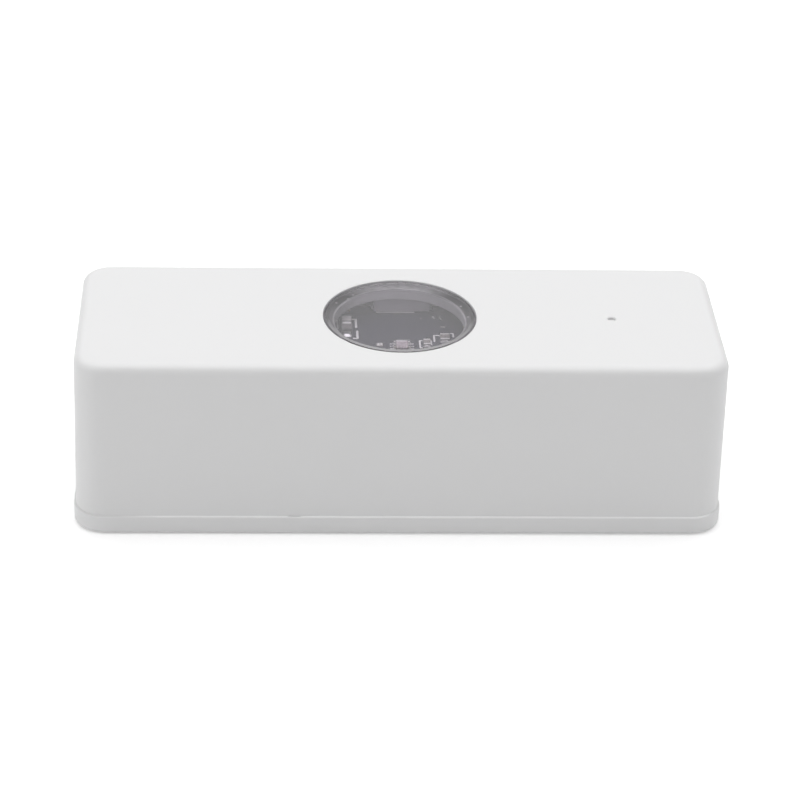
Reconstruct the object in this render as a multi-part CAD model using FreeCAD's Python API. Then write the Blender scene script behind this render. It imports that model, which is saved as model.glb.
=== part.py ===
import FreeCAD, Part
import math
import os

# A stick-on wireless light sensor: a white two-part case with a round smoked window, a circuit
# board that carries the light sensor chip, and two coin cells under the board.
# All sizes are in millimetres. X runs along the case, Y from front to back, and Z up.
# The origin is the middle of the face that the sensor rests or sticks on.

Vector = FreeCAD.Vector
up = Vector(0, 0, 1)

# Coin cells, size 2450, side by side along X
cell_diameter = 24.5
cell_thickness = 5.0
cell_web = 1.2
cell_wall = 0.3
cell_edge_radius = 0.6
cell_step = 0.7
cell_cap_inset = 0.95
cell_gasket_width = 0.4
cell_core_clearance = 0.05

# Case: the cells set its depth, and the cells with a bay at each end set its length
case_height = 23.25
cell_side_clearance = 0.28
end_bay = 13.7
corner_radius = 4.0
draft_degrees = 0.75
top_edge_radius = 1.2
side_wall = 1.3
top_wall = 1.5

# Bottom cover
rim_height = 2.3
cover_overhang = 0.26
cover_lower_edge_radius = 0.4
cover_upper_edge_radius = 0.14
cover_floor = 1.8
seam_gap = 0.02
lip_height = 2.0
lip_thickness = 1.0
lip_clearance = 0.15
rib_height = 0.8
rib_thickness = 0.8
rib_spacing = 12.0

# Wall screw holes in the bottom cover
wall_screw_spacing = 60.0
wall_screw_hole_radius = 1.7
wall_screw_pad_radius = 3.75
wall_screw_pad_height = 0.6

# Mounting tape
tape_length = 46.0
tape_width = 20.0
tape_thickness = 0.8
tape_proud = 0.2
tape_corner_radius = 1.5
tape_clearance = 0.3

# Snap hooks on the bottom cover and their pockets in the housing
hook_inset = 9.5
hook_width = 5.0
hook_thickness = 1.1
hook_length = 5.6
barb_height = 1.5
barb_reach = 0.45
pocket_clearance = 0.25
hook_slot_clearance = 0.5

# Pry notch in the lower edge of the housing's front
notch_x = -13.1
notch_width = 1.4
notch_height = 0.12
notch_depth = 0.12

# Window
window_radius = 9.6
window_edge_radius = 0.12
lens_thickness = 1.6
lens_clearance = 0.1
lens_chamfer = 0.25
lens_adhesive_thickness = 0.12
lens_adhesive_inset = 0.1
ledge_width = 1.35
ledge_thickness = 1.3
ledge_ring_wall = 1.45

# Circuit board
space_over_board = 2.1
board_thickness = 1.6
board_end_clearance = 0.4
board_side_gap = 2.1
board_corner_radius = 2.5
board_screw_inset = 3.2
board_screw_hole_radius = 1.2
boss_radius = 2.2
boss_bore_depth = 3.2

# Board screws
screw_shank_radius = 0.82
screw_bore_clearance = 0.03
screw_end_gap = 0.2
screw_head_radius = 1.9
screw_head_height = 1.3
screw_head_edge_radius = 0.45
screw_recess_length = 1.8
screw_recess_width = 0.4
screw_recess_depth = 0.7

# Battery holder
holder_clearance = 0.15
holder_floor = 1.0
holder_end_wall = 1.6
holder_edge_inset = 0.2
holder_wall_depth = 4.0
holder_peg_radius = 0.7
holder_peg_inset = 1.4
holder_peg_clearance = 0.1
holder_peg_end_gap = 0.2

# Battery contacts
contact_thickness = 0.25
cell_gap_over_contacts = 0.45
negative_disc_radius = 3.2
negative_finger_overlap = 1.0
negative_finger_length = 6.5
negative_finger_width = 1.6
negative_pad_length = 1.6
negative_tail_inset = 2.0
contact_recess_clearance = 0.1
positive_strip_width = 5.0
positive_strip_gap = 0.03
positive_foot_length = 0.6
positive_tail_y = 5.0
tail_width = 1.2
tail_height_over_board = 0.5
tail_clearance = 0.12

# Light sensor chip, in a clear package
sensor_x = 0.35
sensor_y = -0.5
sensor_side = 2.1
sensor_height = 0.52
sensor_die_width = 1.45
sensor_die_length = 1.6
sensor_die_height = 0.3
sensor_lead_count = 3
sensor_lead_pitch = 0.65
sensor_lead_width = 0.3
sensor_lead_inside = 0.25
sensor_lead_outside = 0.1
sensor_lead_thickness = 0.12

# Tantalum capacitor at the left of the window
tantalum_x = -6.5
tantalum_y = 4.2
tantalum_length = 3.75
tantalum_width = 1.35
tantalum_height = 0.95
tantalum_tab_width = 1.0
tantalum_tab_height = 0.5
tantalum_tab_foot = 0.8
tantalum_tab_thickness = 0.12

# White plug connector at the back edge of the window
header_x = 0.7
header_front_inset = 1.6
header_length = 7.2
header_depth = 2.9
header_top_gap = 0.15
header_wall = 0.45
header_front_wall = 0.9
header_pin_count = 4
header_pin_pitch = 1.25
header_pin_width = 0.32
header_pin_end_gap = 0.45

# Status light
led_x = 5.4
led_y = -5.2
led_length = 2.0
led_width = 1.25
led_base_height = 0.35
led_dome_height = 0.45
led_dome_inset = 0.35

# Radio module between the left cell's two contact tails, and its spring antenna
radio_gap = 0.93
radio_length = 12.0
radio_side_gap = 1.0
radio_board_thickness = 0.8
radio_shield_inset_x = 0.8
radio_shield_inset_y = 1.3
radio_shield_height = 1.2
radio_shield_thickness = 0.25
radio_shield_edge_radius = 0.5
radio_notch_count = 7
radio_notch_pitch = 1.5
radio_notch_radius = 0.3
antenna_inset = 8.0
antenna_coil_radius = 2.6
antenna_wire_radius = 0.35
antenna_pitch = 1.3
antenna_turns = 7
antenna_arcs_per_turn = 4
antenna_leg_length = 1.2
antenna_leg_over_board = 0.5
antenna_hole_clearance = 0.15
antenna_elbow_radius = 0.36

# Microcontroller, which lies between the window and the function key, and its crystal
controller_key_gap = 1.35
controller_y = 3.0
controller_side = 7.0
controller_height = 1.4
controller_edge_chamfer = 0.2
controller_standoff = 0.1
controller_lead_count = 8
controller_lead_pitch = 0.8
controller_lead_width = 0.3
controller_lead_shoulder = 0.45
controller_lead_foot = 0.45
controller_lead_thickness = 0.15
crystal_y = -5.6
crystal_length = 5.0
crystal_depth = 3.2
crystal_base_height = 0.4
crystal_lid_height = 0.3
crystal_lid_inset = 0.3

# Bulk capacitor under the board's right end
bulk_holder_gap = 0.3
bulk_can_radius = 4.0
bulk_can_length = 8.0
bulk_can_edge_radius = 0.6
bulk_groove_depth = 0.35
bulk_groove_height = 0.6
bulk_groove_offset = 1.2
bulk_base_margin = 0.15
bulk_base_height = 1.4
bulk_base_chamfer = 1.6

# Function key, its switch, and the pinhole and guide over it
key_inset = 14.0
key_y = -0.6
key_hole_radius = 0.5
key_hole_edge_chamfer = 0.08
key_guide_clearance = 0.3
key_guide_wall = 0.5
key_guide_length = 0.4
key_top_gap = 0.62
key_stem_radius = 1.2
key_stem_clearance = 0.08
key_tip_clearance = 0.08
key_tip_recess = 0.32
key_flange_radius = 1.6
key_flange_clearance = 0.2
key_flange_gap = 0.03
key_nub_radius = 0.55
key_nub_height = 0.15
switch_side = 4.5
switch_body_height = 1.65
switch_cover_thickness = 0.25
switch_cavity_floor = 0.6
switch_dome_clearance = 0.15
switch_dome_rise = 0.4
switch_dome_thickness = 0.1
switch_terminal_width = 0.7
switch_terminal_reach = 0.9
switch_terminal_thickness = 0.2
switch_terminal_pitch = 3.0

# Small chip parts
chip_terminal_share = 0.2
chip_terminal_wrap = 0.03
chip_strip_gap = 2.55
chip_controller_gap = 1.8
chip_switch_gap = 1.35

# How far a cutting tool runs past the face it cuts, and how level an edge has to be
through = 1.0
level_tolerance = 0.01

# Heights worked out from the sizes above
cover_bottom = tape_proud
cover_floor_top = cover_bottom + cover_floor
seam = cover_bottom + rim_height
housing_bottom = seam + seam_gap
case_top = cover_bottom + case_height
ceiling = case_top - top_wall
lens_bottom = case_top - lens_thickness
ledge_top = lens_bottom - lens_adhesive_thickness
ledge_bottom = ledge_top - ledge_thickness
board_top = ledge_bottom - space_over_board
board_bottom = board_top - board_thickness
holder_floor_bottom = board_bottom - holder_floor
cell_top = holder_floor_bottom - cell_gap_over_contacts
cell_bottom = cell_top - cell_thickness
draft_slope = math.tan(math.radians(draft_degrees))


def housing_inset(z):
    """How far the housing's outer face stands in from the cover's edge at a height."""
    return cover_overhang + draft_slope * (z - seam)


# Outline of the case, which closes round the cells
cell_radius = cell_diameter / 2
cell_offset = (cell_diameter + cell_web) / 2
case_half_depth = cell_radius + cell_side_clearance + side_wall + housing_inset(cell_top)
case_half_length = cell_offset + cell_radius + end_bay + side_wall + housing_inset(board_top)


def inner_half_length(z):
    return case_half_length - housing_inset(z) - side_wall


def inner_half_depth(z):
    return case_half_depth - housing_inset(z) - side_wall


# Window, board and holder
ledge_inner_radius = window_radius - ledge_width
ledge_ring_radius = window_radius + ledge_ring_wall
board_half_length = inner_half_length(board_top) - board_end_clearance
board_half_depth = inner_half_depth(board_top) - board_side_gap
board_screw_x = board_half_length - board_screw_inset
board_screw_y = board_half_depth - board_screw_inset
board_screw_places = []
for screw_side in (-1, 1):
    for screw_end in (-1, 1):
        board_screw_places.append((screw_end * board_screw_x, screw_side * board_screw_y))
boss_bore_radius = screw_shank_radius + screw_bore_clearance
holder_pocket_radius = cell_radius + holder_clearance
holder_half_length = cell_offset + holder_pocket_radius + holder_end_wall
holder_half_depth = board_half_depth - holder_edge_inset
holder_peg_y = holder_half_depth - holder_peg_inset
holder_peg_places = [(0, -holder_peg_y), (0, holder_peg_y)]

# Battery contacts, whose tails come up through the board
positive_strip_x = cell_offset + cell_radius + positive_strip_gap + contact_thickness / 2
negative_tail_y = holder_half_depth - negative_tail_inset
negative_finger_root = negative_disc_radius - negative_finger_overlap
tail_hole = tail_width + 2 * tail_clearance
tail_places = []
for tail_side in (-1, 1):
    tail_places.append((tail_side * positive_strip_x, positive_tail_y))
    tail_places.append((tail_side * cell_offset, negative_tail_y))

# Places of the larger parts along the case
hook_x = case_half_length - hook_inset
key_x = case_half_length - key_inset
bulk_x = holder_half_length + bulk_holder_gap + bulk_base_margin + bulk_can_radius
antenna_x = antenna_inset - case_half_length
antenna_foot_x = antenna_x - antenna_coil_radius
radio_x = radio_gap + radio_length / 2 - positive_strip_x
radio_depth = 2 * (negative_tail_y - radio_side_gap)
controller_reach = controller_side / 2 + controller_lead_shoulder + controller_lead_foot
controller_x = key_x - switch_side / 2 - switch_terminal_reach - controller_key_gap - controller_reach
header_front_y = board_half_depth - header_front_inset
header_height = space_over_board - header_top_gap
strip_chip_x = -positive_strip_x - chip_strip_gap
controller_chip_x = controller_x - controller_side / 2 - chip_controller_gap
switch_chip_x = key_x - switch_side / 2 - chip_switch_gap

# Function key and switch
key_guide_bore_radius = key_stem_radius + key_guide_clearance
key_guide_radius = key_guide_bore_radius + key_guide_wall
switch_cavity_radius = key_flange_radius + key_flange_clearance
switch_dome_radius = switch_cavity_radius - switch_dome_clearance

# Chip parts: x, y, length, width, height, and the direction that the length runs in
chip_capacitor_places = [
    (3.55, 0.25, 1.4, 0.85, 0.35, "y"),
    (5.88, 1.58, 1.55, 1.15, 0.4, "y"),
    (controller_chip_x, -4.6, 1.6, 0.8, 0.7, "y"),
    (controller_chip_x, -7.6, 1.6, 0.8, 0.7, "y"),
    (switch_chip_x, -5.0, 1.6, 0.8, 0.7, "y"),
    (strip_chip_x, -4.2, 2.0, 1.25, 0.8, "y"),
    (strip_chip_x, 4.2, 2.0, 1.25, 0.8, "y"),
]
chip_resistor_places = [
    (-3.9, -4.9, 1.6, 0.8, 0.45, "x"),
    (2.2, -6.4, 1.6, 0.8, 0.45, "x"),
    (9.0, 7.8, 1.6, 0.8, 0.45, "x"),
    (switch_chip_x, 7.8, 1.6, 0.8, 0.45, "x"),
    (strip_chip_x, 0.0, 1.6, 0.8, 0.45, "y"),
]


def rounded_rectangle(half_x, half_y, radius, z):
    """A closed wire centred on the Z axis, whose edges start at the same corner each time."""
    slant = radius * math.sqrt(0.5)
    edges = []
    for sign_x, sign_y, start_angle in ((1, 1, 0), (-1, 1, 90), (-1, -1, 180), (1, -1, 270)):
        centre = Vector(sign_x * (half_x - radius), sign_y * (half_y - radius), z)
        angle = math.radians(start_angle)
        first = centre + Vector(math.cos(angle), math.sin(angle), 0) * radius
        middle = centre + Vector(sign_x * slant, sign_y * slant, 0)
        last = centre + Vector(-math.sin(angle), math.cos(angle), 0) * radius
        if edges:
            edges.append(Part.makeLine(edges[-1].Vertexes[-1].Point, first))
        edges.append(Part.Arc(first, middle, last).toShape())
    edges.append(Part.makeLine(edges[-1].Vertexes[-1].Point, edges[0].Vertexes[0].Point))
    return Part.Wire(edges)


def rounded_block(half_x, half_y, radius, bottom, top):
    face = Part.Face(rounded_rectangle(half_x, half_y, radius, bottom))
    return face.extrude(Vector(0, 0, top - bottom))


def drafted_block(wall, bottom, top):
    """The housing's tapered outline between two heights, drawn in by a wall thickness."""
    wires = []
    for z in (bottom, top):
        inset = housing_inset(z) + wall
        wires.append(
            rounded_rectangle(case_half_length - inset, case_half_depth - inset, corner_radius - inset, z)
        )
    return Part.makeLoft(wires, True, True)


def box(x0, x1, y0, y1, z0, z1):
    return Part.makeBox(x1 - x0, y1 - y0, z1 - z0, Vector(x0, y0, z0))


def centred_box(x, y, length, depth, bottom, top):
    return box(x - length / 2, x + length / 2, y - depth / 2, y + depth / 2, bottom, top)


def cylinder(x, y, radius, bottom, top):
    return Part.makeCylinder(radius, top - bottom, Vector(x, y, bottom), up)


def sided(side, inner, outer):
    """The lower and upper limits of a stretch that is given outwards from the middle."""
    return sorted((side * inner, side * outer))


def ring(x, y, outer, inner, bottom, top):
    return cylinder(x, y, outer, bottom, top).cut(cylinder(x, y, inner, bottom - through, top + through))


def turned(x, y, profile):
    """A solid of revolution about an upright axis, from (radius, height) points."""
    points = [Vector(x + r, y, z) for r, z in profile]
    face = Part.Face(Part.makePolygon(points + points[:1]))
    return face.revolve(Vector(x, y, 0), up, 360)


def prism_along_x(profile, x0, x1):
    """A solid with a (y, z) outline, pushed along X."""
    points = [Vector(x0, y, z) for y, z in profile]
    face = Part.Face(Part.makePolygon(points + points[:1]))
    return face.extrude(Vector(x1 - x0, 0, 0))


def level_edges(shape, z):
    """The edges of a shape that lie flat at a height."""
    found = []
    for edge in shape.Edges:
        bounds = edge.BoundBox
        if abs(bounds.ZMin - z) < level_tolerance and abs(bounds.ZMax - z) < level_tolerance:
            found.append(edge)
    return found


def level_circles(shape, z, radius):
    """The flat round edges of a shape at a height, with a radius."""
    found = []
    for edge in level_edges(shape, z):
        curve = edge.Curve
        if isinstance(curve, Part.Circle) and abs(curve.Radius - radius) < level_tolerance:
            found.append(edge)
    return found


def group(solids):
    return Part.makeCompound(solids)


def hook_places():
    """The X place and the side, front -1 or back 1, of each snap hook."""
    return [(x, side) for x in (-hook_x, hook_x) for side in (-1, 1)]


def housing_shell():
    """The housing's drafted walls and top, with rounded top edges."""
    shell = drafted_block(0, housing_bottom, case_top)
    shell = shell.makeFillet(top_edge_radius, level_edges(shell, case_top))
    return shell.cut(drafted_block(side_wall, housing_bottom - through, ceiling))


def hook_pockets():
    """The shapes cut from the housing's long walls for the barbs."""
    top = cover_floor_top + hook_length + pocket_clearance
    bottom = cover_floor_top + hook_length - barb_height - pocket_clearance
    half_width = hook_width / 2 + pocket_clearance
    wall = inner_half_depth(top)
    depth = barb_reach - lip_clearance + pocket_clearance
    pockets = []
    for x, side in hook_places():
        low, high = sided(side, wall - through, wall + depth)
        pockets.append(box(x - half_width, x + half_width, low, high, bottom, top))
    return pockets


def pry_notch():
    front = housing_inset(housing_bottom) - case_half_depth
    return box(
        notch_x - notch_width / 2, notch_x + notch_width / 2,
        front - through, front + notch_depth,
        housing_bottom - through, housing_bottom + notch_height,
    )


def top_housing():
    """The white upper shell, with its window seat, screw bosses, key guide and hook pockets."""
    guide_bottom = ceiling - key_guide_length
    bore_top = board_top + boss_bore_depth
    shell = housing_shell()
    shell = shell.fuse(cylinder(0, 0, ledge_ring_radius, ledge_bottom, ceiling))
    shell = shell.fuse(cylinder(key_x, key_y, key_guide_radius, guide_bottom, ceiling))
    for x, y in board_screw_places:
        shell = shell.fuse(cylinder(x, y, boss_radius, board_top, ceiling))
        shell = shell.cut(cylinder(x, y, boss_bore_radius, board_top - through, bore_top))
    shell = shell.cut(cylinder(0, 0, window_radius, ledge_top, case_top + through))
    shell = shell.cut(cylinder(0, 0, ledge_inner_radius, ledge_bottom - through, ledge_top + through))
    shell = shell.cut(cylinder(key_x, key_y, key_guide_bore_radius, guide_bottom - through, ceiling))
    shell = shell.cut(cylinder(key_x, key_y, key_hole_radius, guide_bottom, case_top + through))
    for cutter in hook_pockets() + [pry_notch()]:
        shell = shell.cut(cutter)
    shell = shell.removeSplitter()
    shell = shell.makeFillet(window_edge_radius, level_circles(shell, case_top, window_radius))
    return shell.makeChamfer(key_hole_edge_chamfer, level_circles(shell, case_top, key_hole_radius))


def window_lens():
    """The flat smoked window, flush with the top face."""
    radius = window_radius - lens_clearance
    profile = [
        (0, lens_bottom),
        (radius - lens_chamfer, lens_bottom),
        (radius, lens_bottom + lens_chamfer),
        (radius, case_top - lens_chamfer),
        (radius - lens_chamfer, case_top),
        (0, case_top),
    ]
    return turned(0, 0, profile)


def lens_adhesive_ring():
    outer = window_radius - lens_clearance - lens_chamfer
    return ring(0, 0, outer, ledge_inner_radius + lens_adhesive_inset, ledge_top, lens_bottom)


def cover_ribs(well_half_length, well_half_depth, bottom, top):
    """Low stiffening ribs on the cover's floor, which run into its lip."""
    half = rib_thickness / 2
    reach_x = well_half_length + lip_thickness / 2
    reach_y = well_half_depth + lip_thickness / 2
    ribs = [box(-reach_x, reach_x, -half, half, bottom, top)]
    rib_count = int(well_half_length / rib_spacing)
    for step in range(-rib_count, rib_count + 1):
        x = step * rib_spacing
        ribs.append(box(x - half, x + half, -reach_y, reach_y, bottom, top))
    return ribs


def bottom_cover():
    """The white tray that the housing snaps on to, with its locating lip, ribs and screw holes."""
    lip_x = inner_half_length(seam) - lip_clearance
    lip_y = inner_half_depth(seam) - lip_clearance
    lip_corner = corner_radius - housing_inset(seam) - side_wall - lip_clearance
    lip_top = seam + lip_height
    well_x = lip_x - lip_thickness
    well_y = lip_y - lip_thickness
    well_corner = lip_corner - lip_thickness
    rib_top = cover_floor_top + rib_height
    pad_top = rib_top + wall_screw_pad_height

    cover = rounded_block(case_half_length, case_half_depth, corner_radius, cover_bottom, seam)
    cover = cover.makeFillet(cover_lower_edge_radius, level_edges(cover, cover_bottom))
    cover = cover.makeFillet(cover_upper_edge_radius, level_edges(cover, seam))
    cover = cover.fuse(rounded_block(lip_x, lip_y, lip_corner, cover_floor_top, lip_top))
    cover = cover.cut(rounded_block(well_x, well_y, well_corner, cover_floor_top, lip_top + through))
    for rib in cover_ribs(well_x, well_y, cover_floor_top, rib_top):
        cover = cover.fuse(rib)
    for x in (-wall_screw_spacing / 2, wall_screw_spacing / 2):
        cover = cover.fuse(cylinder(x, 0, wall_screw_pad_radius, cover_floor_top, pad_top))
        cover = cover.cut(cylinder(x, 0, wall_screw_hole_radius, cover_bottom - through, pad_top + through))

    slot_half_width = hook_width / 2 + hook_slot_clearance
    slot_inner = lip_y - hook_thickness - hook_slot_clearance
    for x, side in hook_places():
        low, high = sided(side, slot_inner, lip_y + lip_clearance)
        cover = cover.cut(
            box(x - slot_half_width, x + slot_half_width, low, high, cover_floor_top, lip_top + through)
        )
    tape_recess = rounded_block(
        tape_length / 2 + tape_clearance,
        tape_width / 2 + tape_clearance,
        tape_corner_radius + tape_clearance,
        cover_bottom - through,
        tape_thickness,
    )
    return cover.cut(tape_recess).removeSplitter()


def snap_hooks():
    """Four springy arms that stand on the cover's floor, with barbs in the housing's pockets."""
    outer = inner_half_depth(seam) - lip_clearance
    inner = outer - hook_thickness
    top = cover_floor_top + hook_length
    barb_bottom = top - barb_height
    hooks = []
    for x, side in hook_places():
        profile = [
            (side * inner, cover_floor_top),
            (side * outer, cover_floor_top),
            (side * outer, barb_bottom),
            (side * (outer + barb_reach), barb_bottom + barb_reach / 2),
            (side * (outer + barb_reach), barb_bottom + barb_reach),
            (side * outer, top),
            (side * inner, top),
        ]
        hooks.append(prism_along_x(profile, x - hook_width / 2, x + hook_width / 2))
    return group(hooks)


def mounting_tape():
    return rounded_block(tape_length / 2, tape_width / 2, tape_corner_radius, 0, tape_thickness)


def circuit_board():
    """The black board, with holes for its screws, the holder's pegs, the contacts and the antenna."""
    board = rounded_block(board_half_length, board_half_depth, board_corner_radius, board_bottom, board_top)
    low = board_bottom - through
    high = board_top + through
    for x, y in board_screw_places:
        board = board.cut(cylinder(x, y, board_screw_hole_radius, low, high))
    for x, y in holder_peg_places:
        board = board.cut(cylinder(x, y, holder_peg_radius + holder_peg_clearance, low, high))
    for x, y in tail_places:
        board = board.cut(centred_box(x, y, tail_hole, tail_hole, low, high))
    return board.cut(cylinder(antenna_foot_x, 0, antenna_wire_radius + antenna_hole_clearance, low, high))


def board_screws():
    """Cross-head screws that go up through the board into the housing's bosses."""
    head_bottom = board_bottom - screw_head_height
    shank_top = board_top + boss_bore_depth - screw_end_gap
    low = head_bottom - through
    high = head_bottom + screw_recess_depth
    screws = []
    for x, y in board_screw_places:
        screw = cylinder(x, y, screw_head_radius, head_bottom, board_bottom)
        screw = screw.makeFillet(screw_head_edge_radius, level_edges(screw, head_bottom))
        screw = screw.fuse(cylinder(x, y, screw_shank_radius, board_bottom, shank_top))
        screw = screw.cut(centred_box(x, y, screw_recess_length, screw_recess_width, low, high))
        screw = screw.cut(centred_box(x, y, screw_recess_width, screw_recess_length, low, high))
        screws.append(screw)
    return group(screws)


def cell_can(x):
    """The positive steel cup, with its flat face down and its rolled edge up."""
    shoulder = cell_top - cell_step
    cup = cylinder(x, 0, cell_radius, cell_bottom, shoulder)
    cup = cup.makeFillet(cell_edge_radius, level_edges(cup, cell_bottom))
    return cup.cut(cylinder(x, 0, cell_radius - cell_wall, cell_bottom + cell_wall, shoulder + through))


def cell_gasket(x):
    outer = cell_radius - cell_wall
    return ring(x, 0, outer, outer - cell_gasket_width, cell_bottom + cell_wall, cell_top - cell_step)


def cell_cap(x):
    """The negative cap, which stands a little above the can's rim."""
    outer = cell_radius - cell_wall - cell_gasket_width
    top_radius = cell_radius - cell_wall - cell_cap_inset
    shoulder = cell_top - cell_step
    profile = [
        (0, cell_top - cell_wall),
        (top_radius - cell_wall, cell_top - cell_wall),
        (outer - cell_wall, shoulder),
        (outer - cell_wall, shoulder - cell_step),
        (outer, shoulder - cell_step),
        (outer, shoulder),
        (top_radius, cell_top),
        (0, cell_top),
    ]
    return turned(x, 0, profile)


def cell_core(x):
    """The chemistry inside a cell, as one block."""
    radius = cell_radius - 2 * cell_wall - cell_gasket_width - cell_core_clearance
    return cylinder(x, 0, radius, cell_bottom + cell_wall, cell_top - 2 * cell_step)


def positive_contact_recess(side, spare, low, high):
    """The holder's room for a positive strip below its floor, and for the strip's foot above it."""
    inner = positive_strip_x - contact_thickness / 2 - through
    outer = positive_strip_x + contact_thickness / 2 + spare
    half_width = positive_strip_width / 2 + spare
    x0, x1 = sided(side, inner, outer)
    strip_room = box(x0, x1, -half_width, half_width, low, high)
    x0, x1 = sided(side, inner, outer + positive_foot_length)
    tail_end = positive_tail_y + tail_width / 2 + spare
    return strip_room.fuse(box(x0, x1, -half_width, tail_end, holder_floor_bottom, high))


def battery_holder():
    """The black moulding under the board, with a round pocket for each cell."""
    wall_bottom = holder_floor_bottom - holder_wall_depth
    low = wall_bottom - through
    recess_top = holder_floor_bottom + contact_thickness
    spare = contact_recess_clearance
    finger_half = negative_finger_width / 2 + spare
    finger_reach = negative_finger_length + spare
    tail_reach = negative_tail_y + tail_width / 2
    holder = box(
        -holder_half_length, holder_half_length,
        -holder_half_depth, holder_half_depth,
        wall_bottom, board_bottom,
    )
    for side in (-1, 1):
        x = side * cell_offset
        holder = holder.cut(cylinder(x, 0, holder_pocket_radius, low, holder_floor_bottom))
        holder = holder.cut(cylinder(x, 0, negative_disc_radius + spare, low, recess_top))
        fingers = box(x - finger_reach, x + finger_reach, -finger_half, finger_half, low, recess_top)
        track = box(x - finger_half, x + finger_half, 0, tail_reach, low, recess_top)
        holder = holder.cut(fingers).cut(track)
        holder = holder.cut(positive_contact_recess(side, spare, low, recess_top))
    for x, y in tail_places:
        tail_slot = centred_box(x, y, tail_hole, tail_hole, holder_floor_bottom, board_bottom + through)
        holder = holder.cut(tail_slot)
    for x, y in holder_peg_places:
        holder = holder.fuse(cylinder(x, y, holder_peg_radius, board_bottom, board_top - holder_peg_end_gap))
    return holder.removeSplitter()


def negative_contacts():
    """Thin discs in the holder's floor, each with two sprung fingers that press on a cell's cap."""
    low = holder_floor_bottom
    high = holder_floor_bottom + contact_thickness
    tail_top = board_top + tail_height_over_board
    half_width = negative_finger_width / 2
    contacts = []
    for side in (-1, 1):
        x = side * cell_offset
        contact = cylinder(x, 0, negative_disc_radius, low, high)
        contact = contact.fuse(box(x - half_width, x + half_width, 0, negative_tail_y, low, high))
        contact = contact.fuse(centred_box(x, negative_tail_y, tail_width, contact_thickness, low, tail_top))
        for direction in (-1, 1):
            contact = contact.fuse(negative_finger(x, direction))
        contacts.append(contact.removeSplitter())
    return group(contacts)


def negative_finger(x, direction):
    """One sloping finger along X, whose flat end lies on the cell's cap."""
    bend = negative_finger_length - negative_pad_length
    profile = [
        (negative_finger_root, holder_floor_bottom + contact_thickness),
        (negative_finger_root, holder_floor_bottom),
        (bend, cell_top),
        (negative_finger_length, cell_top),
        (negative_finger_length, cell_top + contact_thickness),
        (bend, cell_top + contact_thickness),
    ]
    points = [Vector(x + direction * along, -negative_finger_width / 2, z) for along, z in profile]
    face = Part.Face(Part.makePolygon(points + points[:1]))
    return face.extrude(Vector(0, negative_finger_width, 0))


def positive_contacts():
    """Upright strips in the holder's end walls that touch each can's side."""
    bottom = holder_floor_bottom - holder_wall_depth
    top = holder_floor_bottom + contact_thickness
    tail_top = board_top + tail_height_over_board
    half_width = positive_strip_width / 2
    inner = positive_strip_x - contact_thickness / 2
    outer = positive_strip_x + contact_thickness / 2
    contacts = []
    for side in (-1, 1):
        x0, x1 = sided(side, inner, outer)
        tail_start = positive_tail_y - tail_width / 2
        tail_end = positive_tail_y + tail_width / 2
        contact = box(x0, x1, -half_width, half_width, bottom, holder_floor_bottom)
        contact = contact.fuse(box(x0, x1, tail_start, tail_end, holder_floor_bottom, tail_top))
        x0, x1 = sided(side, inner, outer + positive_foot_length)
        contact = contact.fuse(box(x0, x1, -half_width, tail_end, holder_floor_bottom, top))
        contacts.append(contact.removeSplitter())
    return group(contacts)


def light_sensor_die():
    """The silicon die on its pad, in the middle of the clear package."""
    return centred_box(
        sensor_x, sensor_y, sensor_die_width, sensor_die_length, board_top, board_top + sensor_die_height
    )


def light_sensor_leads():
    """Three flat gold leads on each side, which show through the package."""
    leads = []
    for side in (-1, 1):
        x0, x1 = sided(side, sensor_side / 2 - sensor_lead_inside, sensor_side / 2 + sensor_lead_outside)
        for step in range(sensor_lead_count):
            y = sensor_y + (step - (sensor_lead_count - 1) / 2) * sensor_lead_pitch
            leads.append(
                box(
                    sensor_x + x0, sensor_x + x1,
                    y - sensor_lead_width / 2, y + sensor_lead_width / 2,
                    board_top, board_top + sensor_lead_thickness,
                )
            )
    return group(leads)


def light_sensor_package():
    """The clear moulded package, filled round the die and the leads."""
    package = centred_box(sensor_x, sensor_y, sensor_side, sensor_side, board_top, board_top + sensor_height)
    return package.cut(light_sensor_die()).cut(light_sensor_leads())


def tantalum_capacitor_body():
    bottom = board_top + tantalum_tab_thickness
    length = tantalum_length - 2 * tantalum_tab_thickness
    top = board_top + tantalum_height
    return centred_box(tantalum_x, tantalum_y, tantalum_width, length, bottom, top)


def tantalum_capacitor_tabs():
    """The bent metal tabs at both ends, each with its foot under the body."""
    x0 = tantalum_x - tantalum_tab_width / 2
    x1 = tantalum_x + tantalum_tab_width / 2
    end = tantalum_length / 2
    foot_top = board_top + tantalum_tab_thickness
    tabs = []
    for side in (-1, 1):
        y0, y1 = sided(side, end - tantalum_tab_thickness, end)
        tab = box(x0, x1, tantalum_y + y0, tantalum_y + y1, board_top, board_top + tantalum_tab_height)
        y0, y1 = sided(side, end - tantalum_tab_foot, end)
        tab = tab.fuse(box(x0, x1, tantalum_y + y0, tantalum_y + y1, board_top, foot_top))
        tabs.append(tab.removeSplitter())
    return group(tabs)


def chip_box(place, start, end, spare):
    """The stretch of a chip part from one share of its length to another."""
    x, y, length, width, height, direction = place
    low = (start - 0.5) * length
    high = (end - 0.5) * length
    half = width / 2 + spare
    if direction == "x":
        return box(x + low, x + high, y - half, y + half, board_top, board_top + height + spare)
    return box(x - half, x + half, y + low, y + high, board_top, board_top + height + spare)


def chip_bodies(places):
    return group([chip_box(place, chip_terminal_share, 1 - chip_terminal_share, 0) for place in places])


def chip_terminals():
    """The tinned ends of every chip part."""
    ends = []
    for place in chip_capacitor_places + chip_resistor_places:
        ends.append(chip_box(place, 0, chip_terminal_share, chip_terminal_wrap))
        ends.append(chip_box(place, 1 - chip_terminal_share, 1, chip_terminal_wrap))
    return group(ends)


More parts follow.
